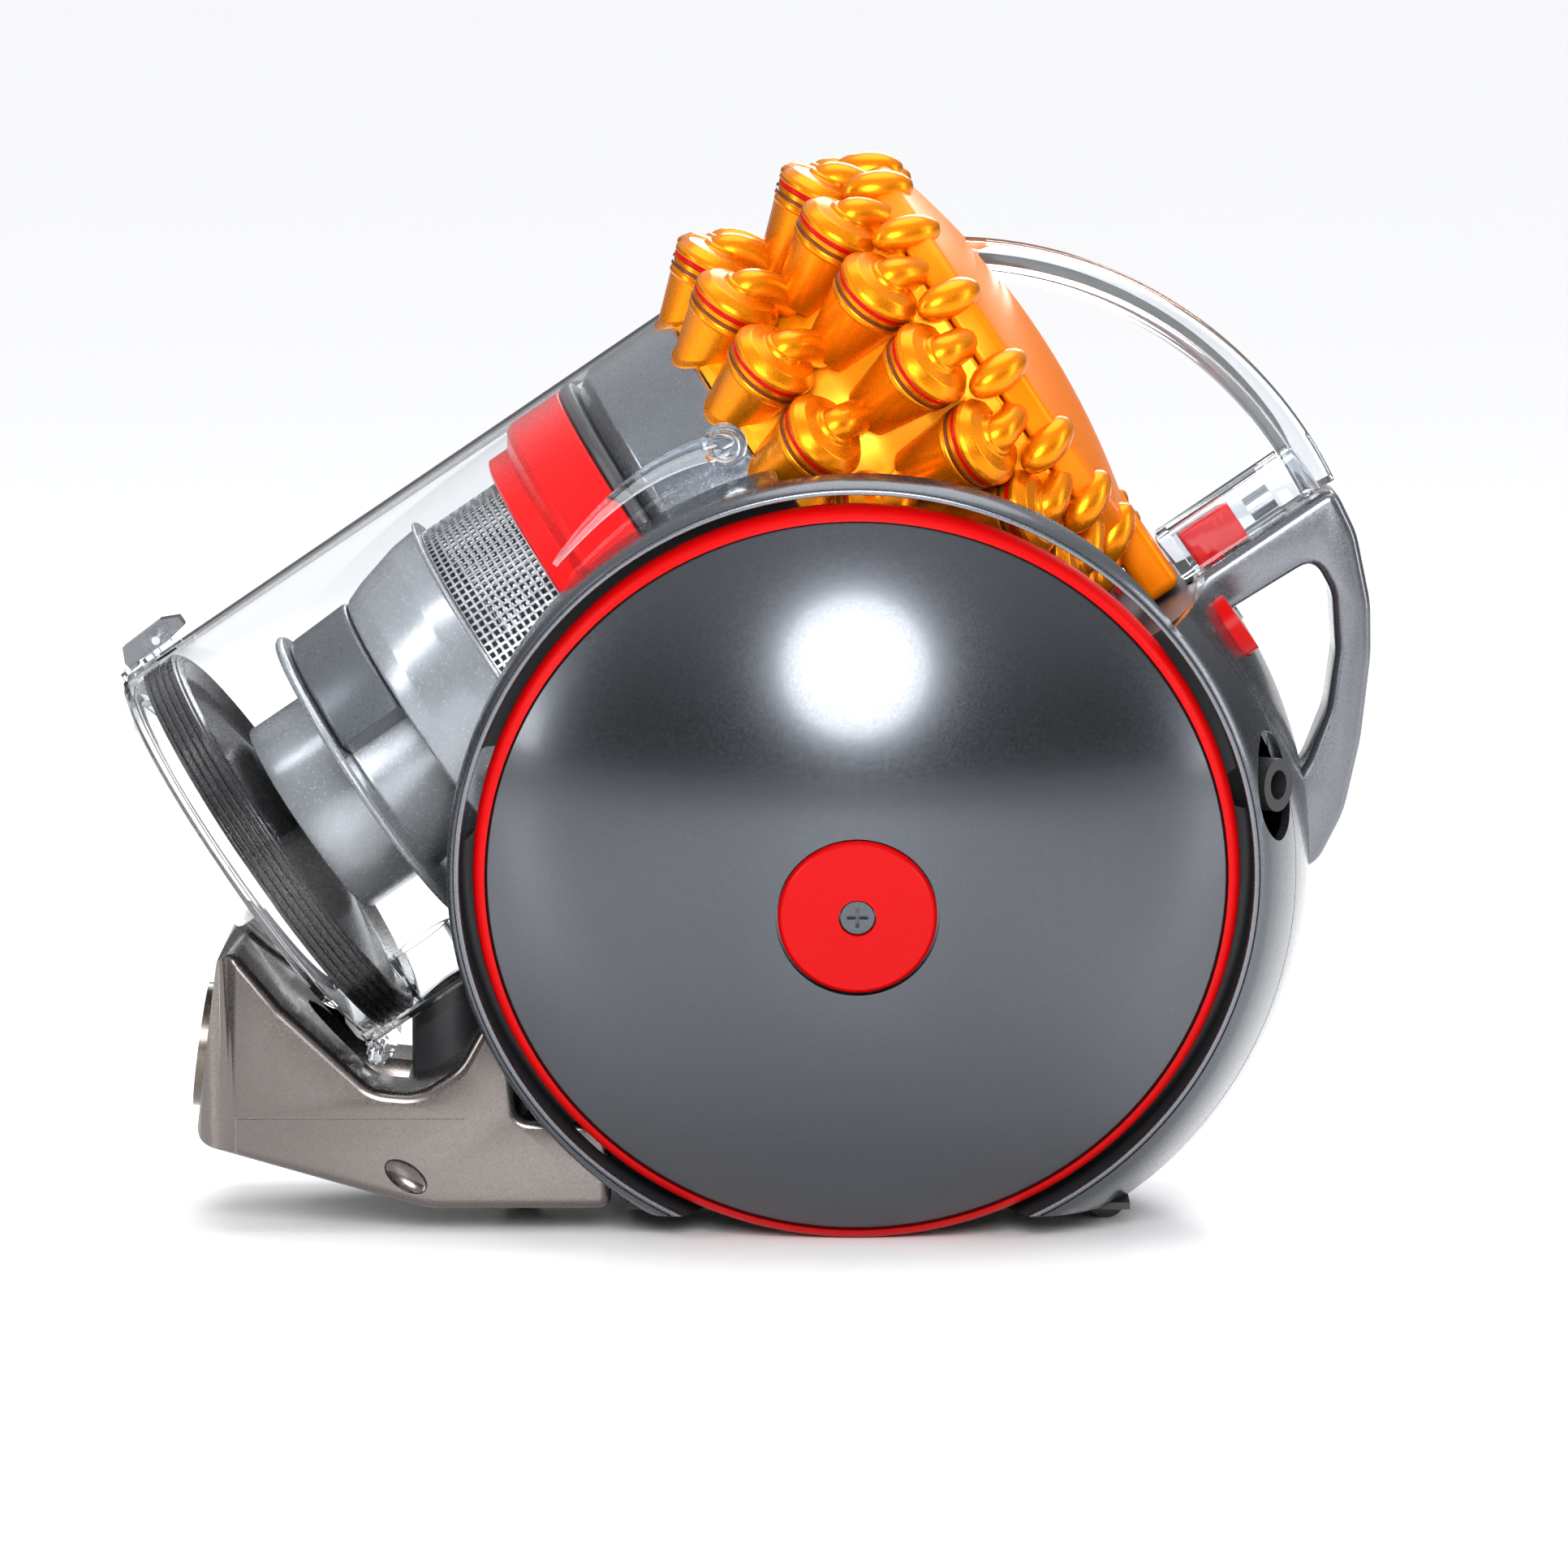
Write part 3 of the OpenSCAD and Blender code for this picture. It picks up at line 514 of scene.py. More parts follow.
# %% Openings of the shell
WELL_R, WELL_FLOOR, CORD_HOLE_R, KEY_HOLE_R = 133.6, -16.5, 9.2, 11.4
cutters = [bin_space(), head_space()]
cutters += [rod("cutter", WELL_R, WELL_FLOOR, 90, place, SIDES) for _, place in WHEELS]
cutters.append(ground_space())
record_mounts = {mount["name"]: mount for mount in frame["record"]["mounts"]}
cord = record_mounts["cord_outlet"]
CORD = axes_at(cord["pos_m"], cord["axis"], (0, 0, 1))
cutters.append(rod("cutter", CORD_HOLE_R, -40, 40, CORD, 48))
for key in ("power", "rewind"):
    way = Vector(joints[f"{key}_press"]["axis"])
    low, high = (Vector(corner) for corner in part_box(f"{key}_button"))
    cutters.append(rod("cutter", KEY_HOLE_R, -14, 14, axes_at((low + high) / 2, -way, (0, 1, 0)), 64))
CASTOR_ROOF = 26
cutters.append(castor_space(CASTOR_ROOF - castor_post[2] * 1000))
cutters.append(block("cutter", (19, 48, 30), (ROLLER_X, 0, 1)))
carve(ball_shell, cutters)
print("shell after cuts", len(ball_shell.data.polygons), "faces")

# %% [markdown]
# The cord leaves through a shallow oval recess, and one fine seam runs round the near side of the shell.

# %% Cord recess and seam
RECESS_R, RECESS_STRETCH = 15, 1.25
recess = rod("cutter", RECESS_R, -3.0, 30, CORD, 48)
for v in recess.data.vertices:
    local = CORD.inverted() @ v.co
    local.x *= RECESS_STRETCH
    v.co = CORD @ local
SEAM_NEAR, SEAM_FAR = -27.3, -28.2
seam = lathe([(140, SEAM_NEAR, 0), (160, SEAM_NEAR, 0), (160, SEAM_FAR, 0), (140, SEAM_FAR, 0)], turns=SIDES)
carve(ball_shell, [recess, new_piece("cutter", seam, wheel_left)])
dress(ball_shell, iron)
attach(ball_shell, "ball")
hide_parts("ball_shell_left", "ball_shell_right")
print("shell dressed,", len(ball_shell.data.polygons), "faces")

# %% [markdown]
# A rounded bead catches the light along each rim. It is spun about the wheel's own axle.

# %% Bright bead along each rim
for side, place in WHEELS:
    bead = lathe([(133.4, -2.4, 0), (135.4, -1.8, 0.8), (135.4, -0.2, 0.8), (133.4, 0.2, 0.7)], turns=160,
                 round_steps=3)
    bead_piece = new_piece(f"rim_bead_{side}", bead, place)
    carve(bead_piece, [ground_space()])
    dress(bead_piece, handle_iron)
    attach(bead_piece, "ball")
    print(bead_piece.name, len(bead_piece.data.polygons), "faces")

# %% [markdown]
# A dark well closes the gap behind each wheel. The flat belly carries two ears for the rear roller.

# %% Wheel wells
for side, place in WHEELS:
    well = lathe([(133.4, -2.6, 0), (133.4, -17, 2), (97, -19.4, 0), (97, -20.9, 0), (134.8, -18.6, 2),
                  (134.8, -2.6, 0)], turns=SIDES)
    well_piece = new_piece(f"wheel_well_{side}", well, place)
    carve(well_piece, [bin_space(), ground_space(), head_space()])
    dress(well_piece, dark_plastic)
    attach(well_piece, "ball")
    print(well_piece.name, len(well_piece.data.polygons), "faces")

# %% Belly and roller ears
EAR_R, EAR_Y, EAR_Z = 4.6, 25.5, 6.7
belly = block("belly_smooth", (172, 88, 2.4), (45, 0, 7.8))
carve(belly, [block("cutter", (19, 47.6, 30), (ROLLER_X, 0, 1))])
ears = bmesh.new()
for sign in (-1, 1):
    ear = bmesh.ops.create_cone(ears, cap_ends=True, segments=32, radius1=EAR_R, radius2=EAR_R,
                                depth=2.8)["verts"]
    turn(ears, 90, "X", ear)
    bmesh.ops.translate(ears, vec=(ROLLER_X, sign * EAR_Y, EAR_Z), verts=ear)
ears_piece = dress(new_piece("roller_ears", ears), dark_plastic)
ears_piece.parent = belly
dress(belly, dark_plastic)
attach(belly, "ball")
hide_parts("belly_plate")
print("belly", len(belly.data.polygons), "faces")

# %% [markdown]
# A thin steel ring edges the red cap on each wheel and turns with it.

# %% Bright ring about each hub
for side, place in WHEELS:
    hub_ring = lathe([(27.5, 39.6, 0), (27.5, 41.2, 0.3), (28.3, 41.4, 0.3), (28.3, 39.6, 0)], turns=96,
                     round_steps=2)
    hub_ring_piece = dress(new_piece(f"hub_ring_{side}", hub_ring, place), bright_steel)
    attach(hub_ring_piece, f"wheel_{side}")
    print(hub_ring_piece.name, len(hub_ring_piece.data.polygons), "faces")


# %% [markdown]
# ## Nose
#
# The nose is the duct that takes the hose. It is two moulded halves with a seam between them. Its side
# outline is drawn once with rounded corners, pushed out to its width and rounded along both edges; a second
# outline seen from above rounds the front corners.

# %% Nose body
NOSE_HALF, SEAM_Z = 56, 39
nose_line = [(-188, 31, 6), (-109, 8.6, 30), (-46.2, 8.6, 5), (-46.2, 38.8, 5), (-78, 40, 5), (-80, 74, 5),
             (-88, 75, 5), (-98, 57, 16), (-112, 48, 16), (-127, 49.4, 14), (-138, 59.5, 14), (-158, 78, 14),
             (-173.5, 96.6, 5), (-180, 95.4, 5)]
nose = soften(slab(nose_line, 2 * NOSE_HALF, 6), 4.5, 4, angle=65)
nose_piece = new_piece("nose", nose)
plan = slab([(-191, -NOSE_HALF - 1, 27), (-191, NOSE_HALF + 1, 27), (-40, NOSE_HALF + 1, 0),
             (-40, -NOSE_HALF - 1, 0)], 240, 12)
turn(plan, -90, "X")
carve(nose_piece, [new_piece("cutter", plan)], "INTERSECT")
print("nose outline", len(nose_piece.data.polygons), "faces")

# %% [markdown]
# The hose socket, the castor's well and the riser to the bin pass through the nose. Each side has a fine seam
# and a shallow oval dent.

# %% Holes, seams and dents of the nose
SOCKET_R, RISER_R, RISER_FOOT = 19.6, 13.9, (-0.102, 0, 0.03)
hose = record_mounts["hose_socket"]
HOSE = axes_at(hose["pos_m"], hose["axis"], (0, 0, 1))
holes = [rod("cutter", SOCKET_R, -60, 40, HOSE), castor_space(6)]
holes.append(rod("cutter", RISER_R, -20, 90, axes_at(RISER_FOOT, (0, 0, 1), (1, 0, 0))))
for sign in (-1, 1):
    holes.append(block("cutter", (78, 2.4, 0.8), (-135, sign * NOSE_HALF, SEAM_Z + 1)))
    holes.append(block("cutter", (0.8, 2.4, 14), (-174, sign * NOSE_HALF, SEAM_Z - 5.6)))
    dent = bmesh.new()
    bmesh.ops.create_uvsphere(dent, u_segments=40, v_segments=20, radius=1)
    bmesh.ops.scale(dent, vec=(8.5, 3.2, 4.6), verts=dent.verts)
    turn(dent, 35, "Y")
    bmesh.ops.translate(dent, vec=(-116, sign * (NOSE_HALF + 0.6), 20), verts=dent.verts)
    holes.append(new_piece("cutter", dent))
carve(nose_piece, holes)
dress(nose_piece, nickel)
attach(nose_piece, "ball")
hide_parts("nose_upper", "nose_lower")
dress(frame["nodes"]["hose_socket"], nickel_dark)
print("nose", len(nose_piece.data.polygons), "faces")


# %% [markdown]
# ## Inside the clear bin
#
# The bin shows everything in it: a ribbed rubber seal on the base, the dust guide, a smooth shroud, the
# etched metal mesh and the silver collar. The mesh is a ring of cells whose middles are taken out, so its
# holes are real.

# %% Base seal
RIB_COUNT, RIB_LOW, RIB_PITCH = 5, 4.8, 2.6
ribs = []
for step in range(RIB_COUNT):
    low = RIB_LOW + step * RIB_PITCH
    ribs += [(73.4, low, 0.3), (73.4, low + 1.3, 0.3), (72.0, low + 1.7, 0.2), (72.0, low + 2.4, 0.2)]
seal = lathe([(0, 19, 0), (30, 17, 8), (58, 9.5, 6), (66, 8, 1), (69, 4.5, 0.5)] + ribs +
             [(69, 18.6, 1), (64, 14.5, 3), (56, 14, 6), (30, 20, 10), (0, 22, 0)], turns=144, round_steps=4)
seal_disc = dress(new_piece("base_seal", seal, BIN), rubber_gloss)
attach(seal_disc, "flap")
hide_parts("bin_seal")
print("base seal with", RIB_COUNT, "ribs")

# %% [markdown]
# The grey parts inside are bodies of revolution about the bin's axis. The guide is spun through part of a
# turn only and its open ends are filled.

# %% Dust tube, guide and shroud
tube = lathe([(33.8, 23, 1), (37, 23, 1), (37, 47.6, 1.5), (57, 47.9, 0.8), (58, 49.6, 0.8), (57, 51, 0.8),
              (37.6, 51.4, 1.5), (37, 76, 0), (33.8, 76, 0)], turns=128)
tube_piece = dress(new_piece("dust_tube_smooth", tube, BIN), inner_plastic)
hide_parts("dust_tube")
guide = lathe([(37.6, 52, 0), (54, 52, 2), (55, 75.8, 2), (37.6, 75.8, 0)], turns=48, angle=140)
bmesh.ops.holes_fill(guide, edges=[e for e in guide.edges if len(e.link_faces) == 1])
turn(guide, -70, "Z")
guide_piece = dress(new_piece("dust_guide", guide, BIN), inner_dark)
shroud = lathe([(36, 76.2, 0), (54.5, 76.2, 2.5), (57.5, 84, 5), (61.6, 100, 6), (62.6, 109.5, 0.5),
                (64.5, 110, 0.6), (64.5, 111, 0.4), (58.6, 111, 0), (58, 100, 0), (54, 86, 0),
                (52, 79.4, 0), (36, 79.4, 0)], turns=144)
shroud_piece = dress(new_piece("shroud_smooth", shroud, BIN), inner_plastic)
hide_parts("shroud_body")
print("shroud", len(shroud_piece.data.polygons), "faces")

# %% [markdown]
# The mesh starts as one circle of edges, extruded row by row. Each cell is inset, its middle is deleted, and
# the web that is left gets the thickness of the sheet.

# %% Etched mesh
CELLS, ROWS, MESH_R, MESH_LOW, MESH_HIGH = 132, 12, 60, 111.3, 142.9
WEB_HALF, SHEET = 0.62, 0.6
mesh_bm = bmesh.new()
bmesh.ops.create_circle(mesh_bm, cap_ends=False, segments=CELLS, radius=MESH_R)
bmesh.ops.translate(mesh_bm, vec=(0, 0, MESH_LOW), verts=mesh_bm.verts)
edge_ring = mesh_bm.edges[:]
for row in range(ROWS):
    grown = bmesh.ops.extrude_edge_only(mesh_bm, edges=edge_ring)["geom"]
    edge_ring = [g for g in grown if isinstance(g, bmesh.types.BMEdge) and len(g.link_faces) == 1]
    bmesh.ops.translate(mesh_bm, vec=(0, 0, (MESH_HIGH - MESH_LOW) / ROWS),
                        verts=list({v for e in edge_ring for v in e.verts}))
bmesh.ops.recalc_face_normals(mesh_bm, faces=mesh_bm.faces)
cells = mesh_bm.faces[:]
bmesh.ops.inset_individual(mesh_bm, faces=cells, thickness=WEB_HALF)
bmesh.ops.delete(mesh_bm, geom=cells, context="FACES")
bmesh.ops.solidify(mesh_bm, geom=mesh_bm.faces[:], thickness=SHEET)
mesh_piece = dress(new_piece("etched_mesh", mesh_bm, BIN, smooth=30), mesh_metal)
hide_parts("shroud_mesh")
print("mesh holes", CELLS * ROWS)

# %% [markdown]
# The red band seals the shroud to the wall of the bin, and the silver collar carries the orange head.

# %% Red band and collar
band = lathe([(56, 143.4, 0), (66, 143.4, 1), (67.5, 144.4, 0.6), (67.5, 152, 1), (72.6, 155.6, 1.5),
              (73.8, 158, 1), (73.8, 177.4, 1), (64, 177.4, 0), (64, 160, 0), (56, 152, 0)], turns=144)
band_piece = dress(new_piece("red_band", band, BIN), red_metal)
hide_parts("red_ring")
sleeve = lathe([(62, 183.4, 0), (69.5, 183.4, 1), (74.2, 190, 2), (74.2, 222.6, 0.6), (73.4, 223.9, 0.4),
                (70, 223.9, 0), (70, 192, 0), (62, 187, 0)], turns=160)
sleeve_piece = dress(new_piece("collar_smooth", sleeve, BIN), silver)
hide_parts("collar")
for piece, slot in ((tube_piece, "inner_grey"), (guide_piece, "inner_grey"), (shroud_piece, "inner_grey"),
                    (mesh_piece, "mesh_steel"), (band_piece, "part_red"), (sleeve_piece, "collar_silver")):
    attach(piece, "pack")
print("band and collar", len(band_piece.data.polygons) + len(sleeve_piece.data.polygons), "faces")


# %% [markdown]
# ## Cyclones
#
# The orange head is two tiers of small cone separators. Each is a moulded cone, a red gasket, a bevelled
# cap and a tapered duct that carries the clean air back over the skin. One of each is modelled about its
# own axis and copied around the bin axis by a loop, because hand-made copies would differ.

# %% Cyclone frames
COUNT, TIER_R, LEAN = 16, 81, 31
LOW, HIGH = 247, 290


def cyclone_at(index, height, half=0.5):
    """Matrix, in millimetres, from one cyclone's own axes to the bin axes."""
    around = Matrix.Rotation((index + half) * 2 * math.pi / COUNT, 4, "Z")
    return around @ Matrix.Translation((TIER_R, 0, height)) @ Matrix.Rotation(math.radians(LEAN), 4, "Y")


def merge(bm, other, matrix):
    """Adds a copy of another bmesh, moved by the matrix."""
    mesh = bpy.data.meshes.new("spare")
    other.to_mesh(mesh)
    mesh.transform(matrix)
    bm.from_mesh(mesh)
    bpy.data.meshes.remove(mesh)


def tube_along(points, radii, sides=20, flat=1.0):
    """Closed tube through points in the x-z plane, round or flattened along y, with a flat face at each end."""
    bm = bmesh.new()
    rings = []
    for i, (x, z) in enumerate(points):
        before = Vector(points[max(i - 1, 0)])
        after = Vector(points[min(i + 1, len(points) - 1)])
        run = (after - before).normalized()
        side = Vector((-run.y, run.x))
        ring = bmesh.ops.create_circle(bm, cap_ends=False, segments=sides, radius=1)["verts"]
        for v in ring:
            v.co = Vector((x + side.x * v.co.x * radii[i], v.co.y * radii[i] * flat,
                           z + side.y * v.co.x * radii[i]))
        rings.append(ring)
    for low, high in zip(rings, rings[1:]):
        loop = set(low + high)
        edges = [e for e in bm.edges if e.verts[0] in loop and e.verts[1] in loop and len(e.link_faces) < 2
                 and ((e.verts[0] in low) == (e.verts[1] in low))]
        bmesh.ops.bridge_loops(bm, edges=edges)
    for ring in (rings[0], rings[-1]):
        bm.faces.new(ring)
    bmesh.ops.recalc_face_normals(bm, faces=bm.faces)
    return bm


def bezier(a, b, c, d, steps=12):
    """Points on a cubic curve in the x-z plane."""
    points = []
    for i in range(steps + 1):
        t = i / steps
        weights = ((1 - t) ** 3, 3 * t * (1 - t) ** 2, 3 * t * t * (1 - t), t ** 3)
        points.append(tuple(sum(w * p[k] for w, p in zip(weights, (a, b, c, d))) for k in (0, 1)))
    return points


def bean(radius, reach, rise, back=4.0):
    """Duct that leaves a cap along its axis and turns in over the skin, in the cyclone's own axes."""
    steps = 14
    path = bezier((0, 3), (1, rise * 1.25), (-reach * 0.55, rise * 1.35), (-reach, back), steps)
    radii = [radius * (1 - 0.16 * i / steps) for i in range(steps + 1)]
    for i, share in ((steps, 0.35), (steps - 1, 0.72), (steps - 2, 0.92)):
        radii[i] = radii[i] * share
    return tube_along(path, radii, sides=18, flat=0.92)


# %% [markdown]
# These outlines are one cyclone's own: the cap's foot is at height 0 and the cone hangs below it.

# %% One cone, cap, gasket and duct
cone_bm = lathe([(9.2, -30, 0), (13.6, -7.5, 1.0), (14.3, -7.0, 0.4), (14.3, -5.6, 0.4), (14.0, -5.2, 0.3),
                 (14.6, -1.7, 0.3), (6.0, -1.7, 0), (6.0, -30, 0)], turns=36, round_steps=3)
# A raised ring just under the gasket; its brown colour is painted shade from the cap above.
band_bm = lathe([(14.05, -4.9, 0.2), (14.75, -4.6, 0.2), (14.8, -3.6, 0.2), (14.1, -3.4, 0.2)], turns=36,
                round_steps=2)
cap_bm = lathe([(0, 0, 0), (15.4, 0, 0.5), (15.6, 1.6, 0.5), (14.9, 2.8, 0.8), (12.4, 5.4, 1.6),
                (7.6, 6.3, 1.0), (6.6, 8.0, 1.5), (0, 8.0, 0)], turns=36, round_steps=3)
gasket_bm = lathe([(10, -1.6, 0), (15.1, -1.6, 0.5), (15.1, 0, 0.5), (10, 0, 0)], turns=36, round_steps=2)
duct_bm = bean(7.2, 25, 7.0)
print("one cyclone:", sum(len(b.faces) for b in (cone_bm, band_bm, cap_bm, gasket_bm, duct_bm)), "faces")

# %% [markdown]
# A loop copies each part around both tiers. The short ducts between the upper caps sit half a step round.

# %% Both tiers
def tier_piece(name, source, heights, finish, nodes, half=0.5):
    """One piece with a copy of the source for every cyclone of the tiers at these heights."""
    bm = bmesh.new()
    for height in heights:
        for index in range(COUNT):
            merge(bm, source, cyclone_at(index, height, half))
    piece = dress(new_piece(name, bm, BIN, smooth=35), finish)
    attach(piece, "pack")
    if nodes:
        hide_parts(*nodes)
    return piece


tier_piece("lower_cones", cone_bm, [LOW], orange, ["lower_cyclones"])
tier_piece("upper_cones", cone_bm, [HIGH], orange, ["upper_cyclones"])
# The brown rings under the caps are painted shade, not a coloured part of the cone.
tier_piece("cone_bands", band_bm, [LOW, HIGH], cap_shade_brown, [])
tier_piece("caps", cap_bm, [LOW, HIGH], orange, ["cyclone_caps"])
tier_piece("gaskets", gasket_bm, [LOW, HIGH], red_gloss, ["cap_gaskets"])
tier_piece("clean_air_ducts", duct_bm, [LOW, HIGH], orange, [])
short_bm = bmesh.new()
bmesh.ops.create_uvsphere(short_bm, u_segments=20, v_segments=12, radius=1)
bmesh.ops.scale(short_bm, vec=(12.5, 6.6, 6.6), verts=short_bm.verts)
turn(short_bm, 28, "Y")
bmesh.ops.translate(short_bm, vec=(-12.5, 0, 13), verts=short_bm.verts)
tier_piece("short_ducts", short_bm, [HIGH], orange, [], half=0.0)
print("cyclones", 2 * COUNT)

# %% [markdown]
# The skin between the cones is one smooth waisted shell. It swells out to meet each tier. A second lathed
# shell closes the head: a shallow dome whose rim rolls in under the ducts.

# %% Skin and core
skin = lathe([(50, 224.4, 0), (74.2, 224.4, 0.8), (74.4, 227.6, 1.0), (68.6, 244, 12), (65.5, 262, 20),
              (70.5, 281, 14), (78.0, 293, 6), (78.0, 303.6, 2), (50, 303.6, 0)], turns=160, round_steps=8)
merge(skin, lathe([(38, 178.4, 0), (50, 178.4, 0), (50, 303.4, 0), (38, 303.4, 0)], turns=96), Matrix())
skin_piece = dress(new_piece("cyclone_skin", skin, BIN), orange_bright)
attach(skin_piece, "pack")
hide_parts("cyclone_core")
print("skin", len(skin_piece.data.polygons), "faces")

# %% [markdown]
# The cover is part of a large ball, with a tail that reaches the catch. A rubber ring seals the head's foot.

# %% Cover and seal
DOME_TOP, DOME_BALL = 325.4, 260


def dome_height(radius):
    """Height of the dome at a distance from the axis."""
    return DOME_TOP - (DOME_BALL - math.sqrt(DOME_BALL ** 2 - radius ** 2))


crown_line = [(radius, dome_height(radius), 0) for radius in range(0, 67, 6)]
cover = lathe(crown_line + [(76, dome_height(74) - 0.5, 5), (78.5, 304.8, 3), (74, 303.9, 1), (0, 303.9, 0)],
              turns=160, round_steps=6)
cover_piece = dress(new_piece("head_cover", cover, BIN, smooth=50), orange_smooth)
tail = soften(brick((58, 33.4, 13.6), (-70.6, 0, 311)), 3.5, 4)
tail_piece = dress(new_piece("cover_tail", tail, BIN), orange_smooth)
tail_piece.parent = cover_piece
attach(cover_piece, "pack")
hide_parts("top_cover")
seal_ring = lathe([(60, 178.2, 0), (73.9, 178.2, 1.2), (74.3, 180.6, 0.6), (73.9, 182.9, 1.2),
                   (60, 182.9, 0)], turns=128)
seal_piece = dress(new_piece("head_seal", seal_ring, BIN), rubber)
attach(seal_piece, "pack")
print("cover", len(cover_piece.data.polygons), "faces")


# %% [markdown]
# ## Handles
#
# The clear carrying handle is an arc of one circle, so its rounded section is spun through part of a turn.
# The grey loop behind it carries the curve on down to the ball: an outline pushed out to its width.

# %% Clear carrying handle
ARC_X, ARC_Z, ARC_OUT, ARC_IN, GRIP = 70, 190, 146, 133, 34
arc = bmesh.new()
section = fillet([(ARC_IN, -GRIP / 2 + 3, 5), (ARC_OUT, -GRIP / 2 + 0.4, 4), (ARC_OUT, GRIP / 2 - 0.4, 4),
                  (ARC_IN, GRIP / 2 - 3, 5), (ARC_IN, 9, 1.5), (ARC_IN + 6, 7, 3), (ARC_IN + 6, -7, 3),
                  (ARC_IN, -9, 1.5)], 5)
START, SPAN = 88.2, 62.0
first = Matrix.Rotation(math.radians(-START), 4, "Y")
face = arc.faces.new([arc.verts.new(first @ Vector((r, y, 0))) for r, y in section])
bmesh.ops.spin(arc, geom=[face], cent=(0, 0, 0), axis=(0, 1, 0), dvec=(0, 0, 0),
               angle=math.radians(SPAN), steps=64, use_merge=False, use_duplicate=False)
bmesh.ops.translate(arc, vec=(ARC_X, 0, ARC_Z), verts=arc.verts)
handle = dress(new_piece("carrying_handle", arc, None, 35), clear_tail)
TRIM_UP, TRIM_DEEP = -99.4, 60
carve(handle, [block("cutter", (TRIM_DEEP, 80, 300), (TRIM_UP - TRIM_DEEP / 2, 0, 340), BIN)])
strut = soften(brick((17.2, 30, 57), (-90.9, 0, 347)), 1.6, 3)
strut_piece = dress(new_piece("handle_strut", strut, BIN), clear_tail)
carve(strut_piece, [block("cutter", (15, 18, 36), (-92.5, 0, 342), BIN)])
strut_piece.parent = handle
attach(handle, "pack")
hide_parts("clear_handle")
print("handle spans", SPAN, "degrees")

# %% [markdown]
# The red catch slides in the foot of the clear handle. Its ribs give the thumb a grip.

# %% Release catch with ribs
CATCH_UP, GRIP_RIBS, GRIP_LOW, GRIP_PITCH = -92.4, 6, 328.4, 3.0
catch = soften(brick((12.6, 16, 19.6), (CATCH_UP, 0, 336)), 1.0, 3)
for step in range(GRIP_RIBS):
    merge(catch, brick((9, 16.9, 1.1), (CATCH_UP, 0, GRIP_LOW + step * GRIP_PITCH)), Matrix())
merge(catch, brick((5, 8, 6), (-100.5, 0, 332)), Matrix())
catch_piece = dress(new_piece("ribbed_catch", catch, BIN), red_gloss)
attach(catch_piece, "catch")
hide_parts("release_catch")
print("catch with", GRIP_RIBS, "ribs")

# %% [markdown]
# The loop's outline goes round the outside first and comes back along the inside of the finger hole.

# %% Grey loop behind the ball
loop_line = [(151, 218.9, 5), (200.6, 252.4, 5), (208.6, 236, 30), (213.6, 212, 40), (213.9, 194, 60),
             (210.6, 165, 60), (205.0, 140, 40), (196, 122.4, 12), (181, 116.4, 5), (181, 141, 12),
             (192, 158, 24), (199, 176, 30), (201.6, 196, 20), (200.2, 216, 14), (194, 227.4, 10),
             (162, 207.5, 5)]
loop_piece = new_piece("rear_loop", soften(slab(loop_line, GRIP, 6), 4.2, 4, angle=60))
carve(loop_piece, [block("cutter", (10, 10, 14), (-100, 0, 334), BIN)])
dress(loop_piece, handle_iron)
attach(loop_piece, "ball")
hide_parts("rear_handle")
print("loop", len(loop_piece.data.polygons), "faces")

# %% [markdown]
# Two clear horns hug the bin's sides just above the shell. Each is a tube along a curve that thickens into
# a round eye, and it leaves with the pack when the pack is lifted.

# %% Clear horns
HORN_STEPS, HORN_TIP, HORN_SWELL, HORN_Y = 20, 1.0, 3.8, 84
for sign, side in ((-1, "left"), (1, "right")):
    path = bezier((-64, 232), (-45, 256), (-28, 268), (-4, 273), HORN_STEPS)
    sizes = [HORN_TIP + HORN_SWELL * (i / HORN_STEPS) ** 0.8 for i in range(HORN_STEPS + 1)]
    for i, share in ((HORN_STEPS, 0.45), (HORN_STEPS - 1, 0.85)):
        sizes[i] *= share
    horn = tube_along(path, sizes, sides=20, flat=1.2)
    eye = lathe([(0, -5.6, 0), (6.2, -5.6, 1.5), (7.4, -4, 1.5), (7.4, 4, 1.5), (6.2, 5.6, 1.5),
                 (5.0, 5.6, 0.8), (4.4, 4.2, 0.5), (0, 4.0, 0)], turns=48)
    merge(horn, eye, Matrix.Translation((-7, -1.5 * sign, 272)) @
          Matrix.Rotation(math.radians(90 * -sign), 4, "X"))
    bmesh.ops.translate(horn, vec=(0, sign * HORN_Y, 0), verts=horn.verts)
    horn_piece = dress(new_piece(f"clear_horn_{side}", horn), clear_tail)
    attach(horn_piece, "pack")
print("handles and horns done")


# %% [markdown]
# ## Floor, camera and light
#
# The machine is seen square from its left side and a little from above, through a long lens. A very wide
# pale floor reaches past the top of the view, so it is the background as well, from every side. The light is
# a soft sky, darker near the horizon, which gives the polished wheel its dark band, and one large softbox
# above and in front.

# %% Floor
floor_bm = bmesh.new()
bmesh.ops.create_grid(floor_bm, x_segments=2, y_segments=2, size=60)
floor_mesh = bpy.data.meshes.new("studio_floor")
floor_bm.to_mesh(floor_mesh)
floor_bm.free()
studio_floor = bpy.data.objects.new("studio_floor", floor_mesh)
bpy.context.scene.collection.objects.link(studio_floor)
paper, tree = blank("Studio paper, white")
where = add(tree, "ShaderNodeTexCoord").outputs["Object"]
fibre = add(tree, "ShaderNodeTexNoise", {"Vector": where}, Scale=300.0)
pale = add(tree, "ShaderNodeMixRGB", {"Fac": fibre.outputs["Fac"]}, Color1=colour("#f7f7f7"),
           Color2=colour("#f3f3f4"))
sheet = add(tree, "ShaderNodeBsdfPrincipled", {"Base_Color": pale.outputs["Color"]}, Roughness=0.35)
add(tree, "ShaderNodeOutputMaterial", {"Surface": sheet.outputs["BSDF"]})
dress(studio_floor, paper)
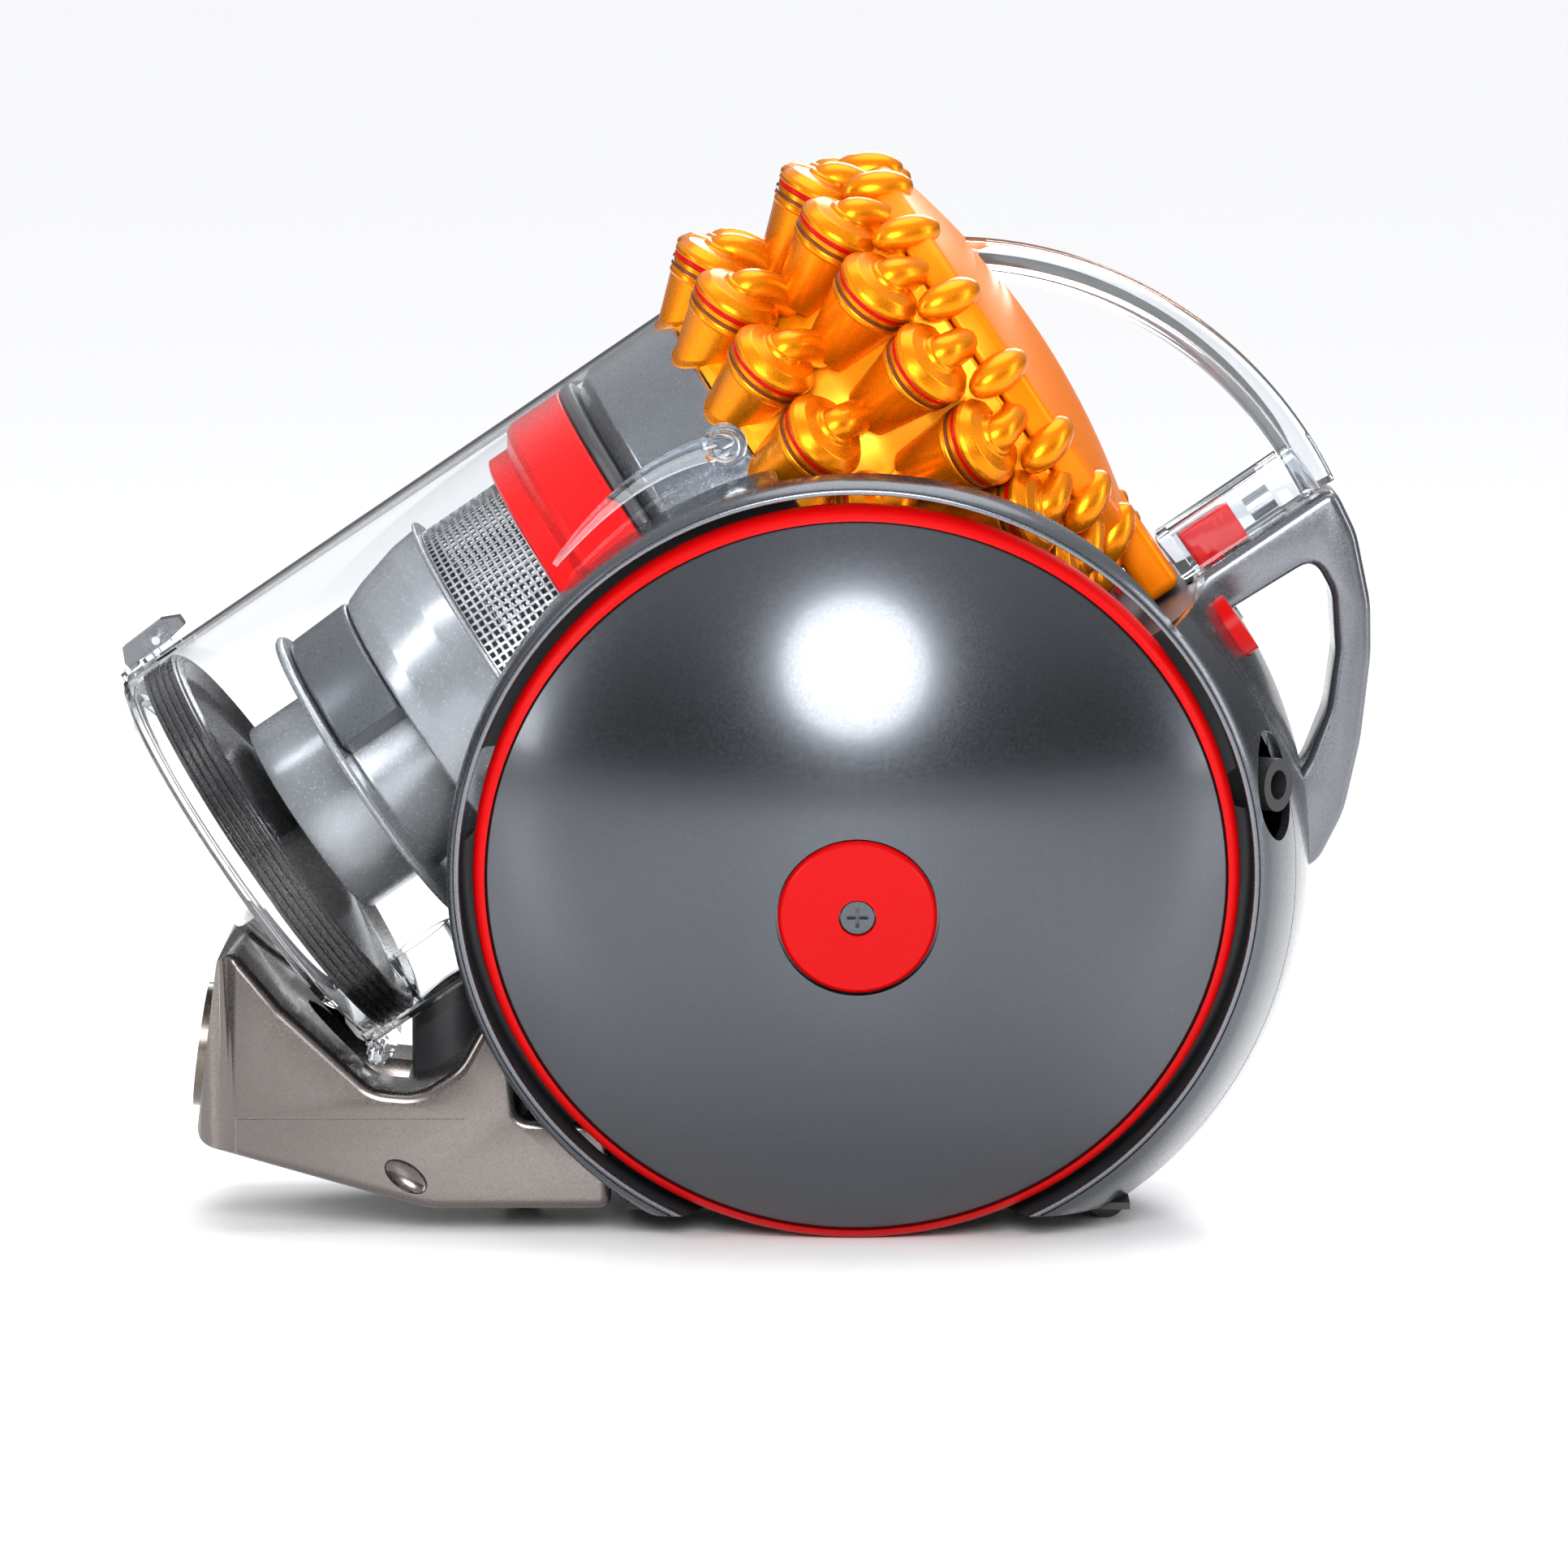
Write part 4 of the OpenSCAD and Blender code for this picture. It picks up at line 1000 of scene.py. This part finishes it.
print("floor", [round(value) for value in studio_floor.dimensions], "m")

# %% [markdown]
# The lens is long enough to keep the wheel round. Its focal length follows from the range and the width of
# the view. Colours are shown plain, so that the reds and oranges keep their strength.

# %% Camera
TARGET = Vector((0.0127, 0, 0.1478))
RANGE, VIEW_WIDTH, RISE = 3.0, 0.541, 7
lens = bpy.data.cameras.new("side_view")
lens.lens = lens.sensor_width * RANGE / VIEW_WIDTH
lens.clip_end = 300
camera = bpy.data.objects.new("side_view", lens)
bpy.context.scene.collection.objects.link(camera)
slope = math.radians(RISE)
camera.location = TARGET + RANGE * Vector((0, -math.cos(slope), math.sin(slope)))
camera.rotation_euler = (math.radians(90 - RISE), 0, 0)
bpy.context.scene.camera = camera
bpy.context.scene.view_settings.view_transform = "Standard"
print("lens", round(lens.lens, 1), "mm")

# %% [markdown]
# A round softbox in front gives the wheel its highlight. Two strips and a rear box edge the shell, and a soft
# ceiling light fills the shadows.

# %% Lamps
def softbox(name, place, aim, width, height, power, shape="RECTANGLE"):
    """Area lamp that points at its aim. The camera doesn't see it."""
    light = bpy.data.lights.new(name, "AREA")
    light.shape = shape
    light.size, light.size_y, light.energy = width, height, power
    lamp = bpy.data.objects.new(name, light)
    lamp.location = place
    lamp.rotation_euler = (Vector(aim) - Vector(place)).to_track_quat("-Z", "Y").to_euler()
    lamp.visible_camera = False
    bpy.context.scene.collection.objects.link(lamp)


softbox("key", (0.04, -1.6, 0.80), (0.037, 0, 0.13), 0.85, 0.85, 30, "DISK")
softbox("left_strip", (-1.8, -0.7, 0.9), (0, 0, 0.18), 0.35, 1.4, 16)
softbox("right_strip", (1.8, -0.5, 0.7), (0, 0, 0.18), 0.3, 1.2, 10)
softbox("rear_box", (0.3, 1.7, 1.2), (0, 0, 0.15), 1.0, 0.8, 22)
sun = bpy.data.lights.new("ceiling", "SUN")
sun.energy, sun.angle = 1.8, math.radians(50)
ceiling = bpy.data.objects.new("ceiling", sun)
ceiling.rotation_euler = (math.radians(-8), math.radians(6), 0)
bpy.context.scene.collection.objects.link(ceiling)

# %% [markdown]
# The sky is dark at the horizon and bright overhead.

# %% Sky
HORIZON_LIGHT, TOP_LIGHT = 0.12, 1.0
world = bpy.data.worlds.new("studio_sky")
bpy.context.scene.world = world
world.use_nodes = True
sky = world.node_tree
sky.nodes.clear()
direction = add(sky, "ShaderNodeTexCoord").outputs["Generated"]
height = add(sky, "ShaderNodeSeparateXYZ", {"Vector": direction}).outputs["Z"]
glow = add(sky, "ShaderNodeMapRange", {"Value": height}, From_Min=0.05, From_Max=0.8,
           To_Min=HORIZON_LIGHT, To_Max=TOP_LIGHT, interpolation_type="SMOOTHSTEP")
backing = add(sky, "ShaderNodeBackground", {"Strength": glow.outputs["Result"]}, Color=colour("#fbfcff"))
add(sky, "ShaderNodeOutputWorld", {"Surface": backing.outputs["Background"]})
print("sky from", HORIZON_LIGHT, "to", TOP_LIGHT)
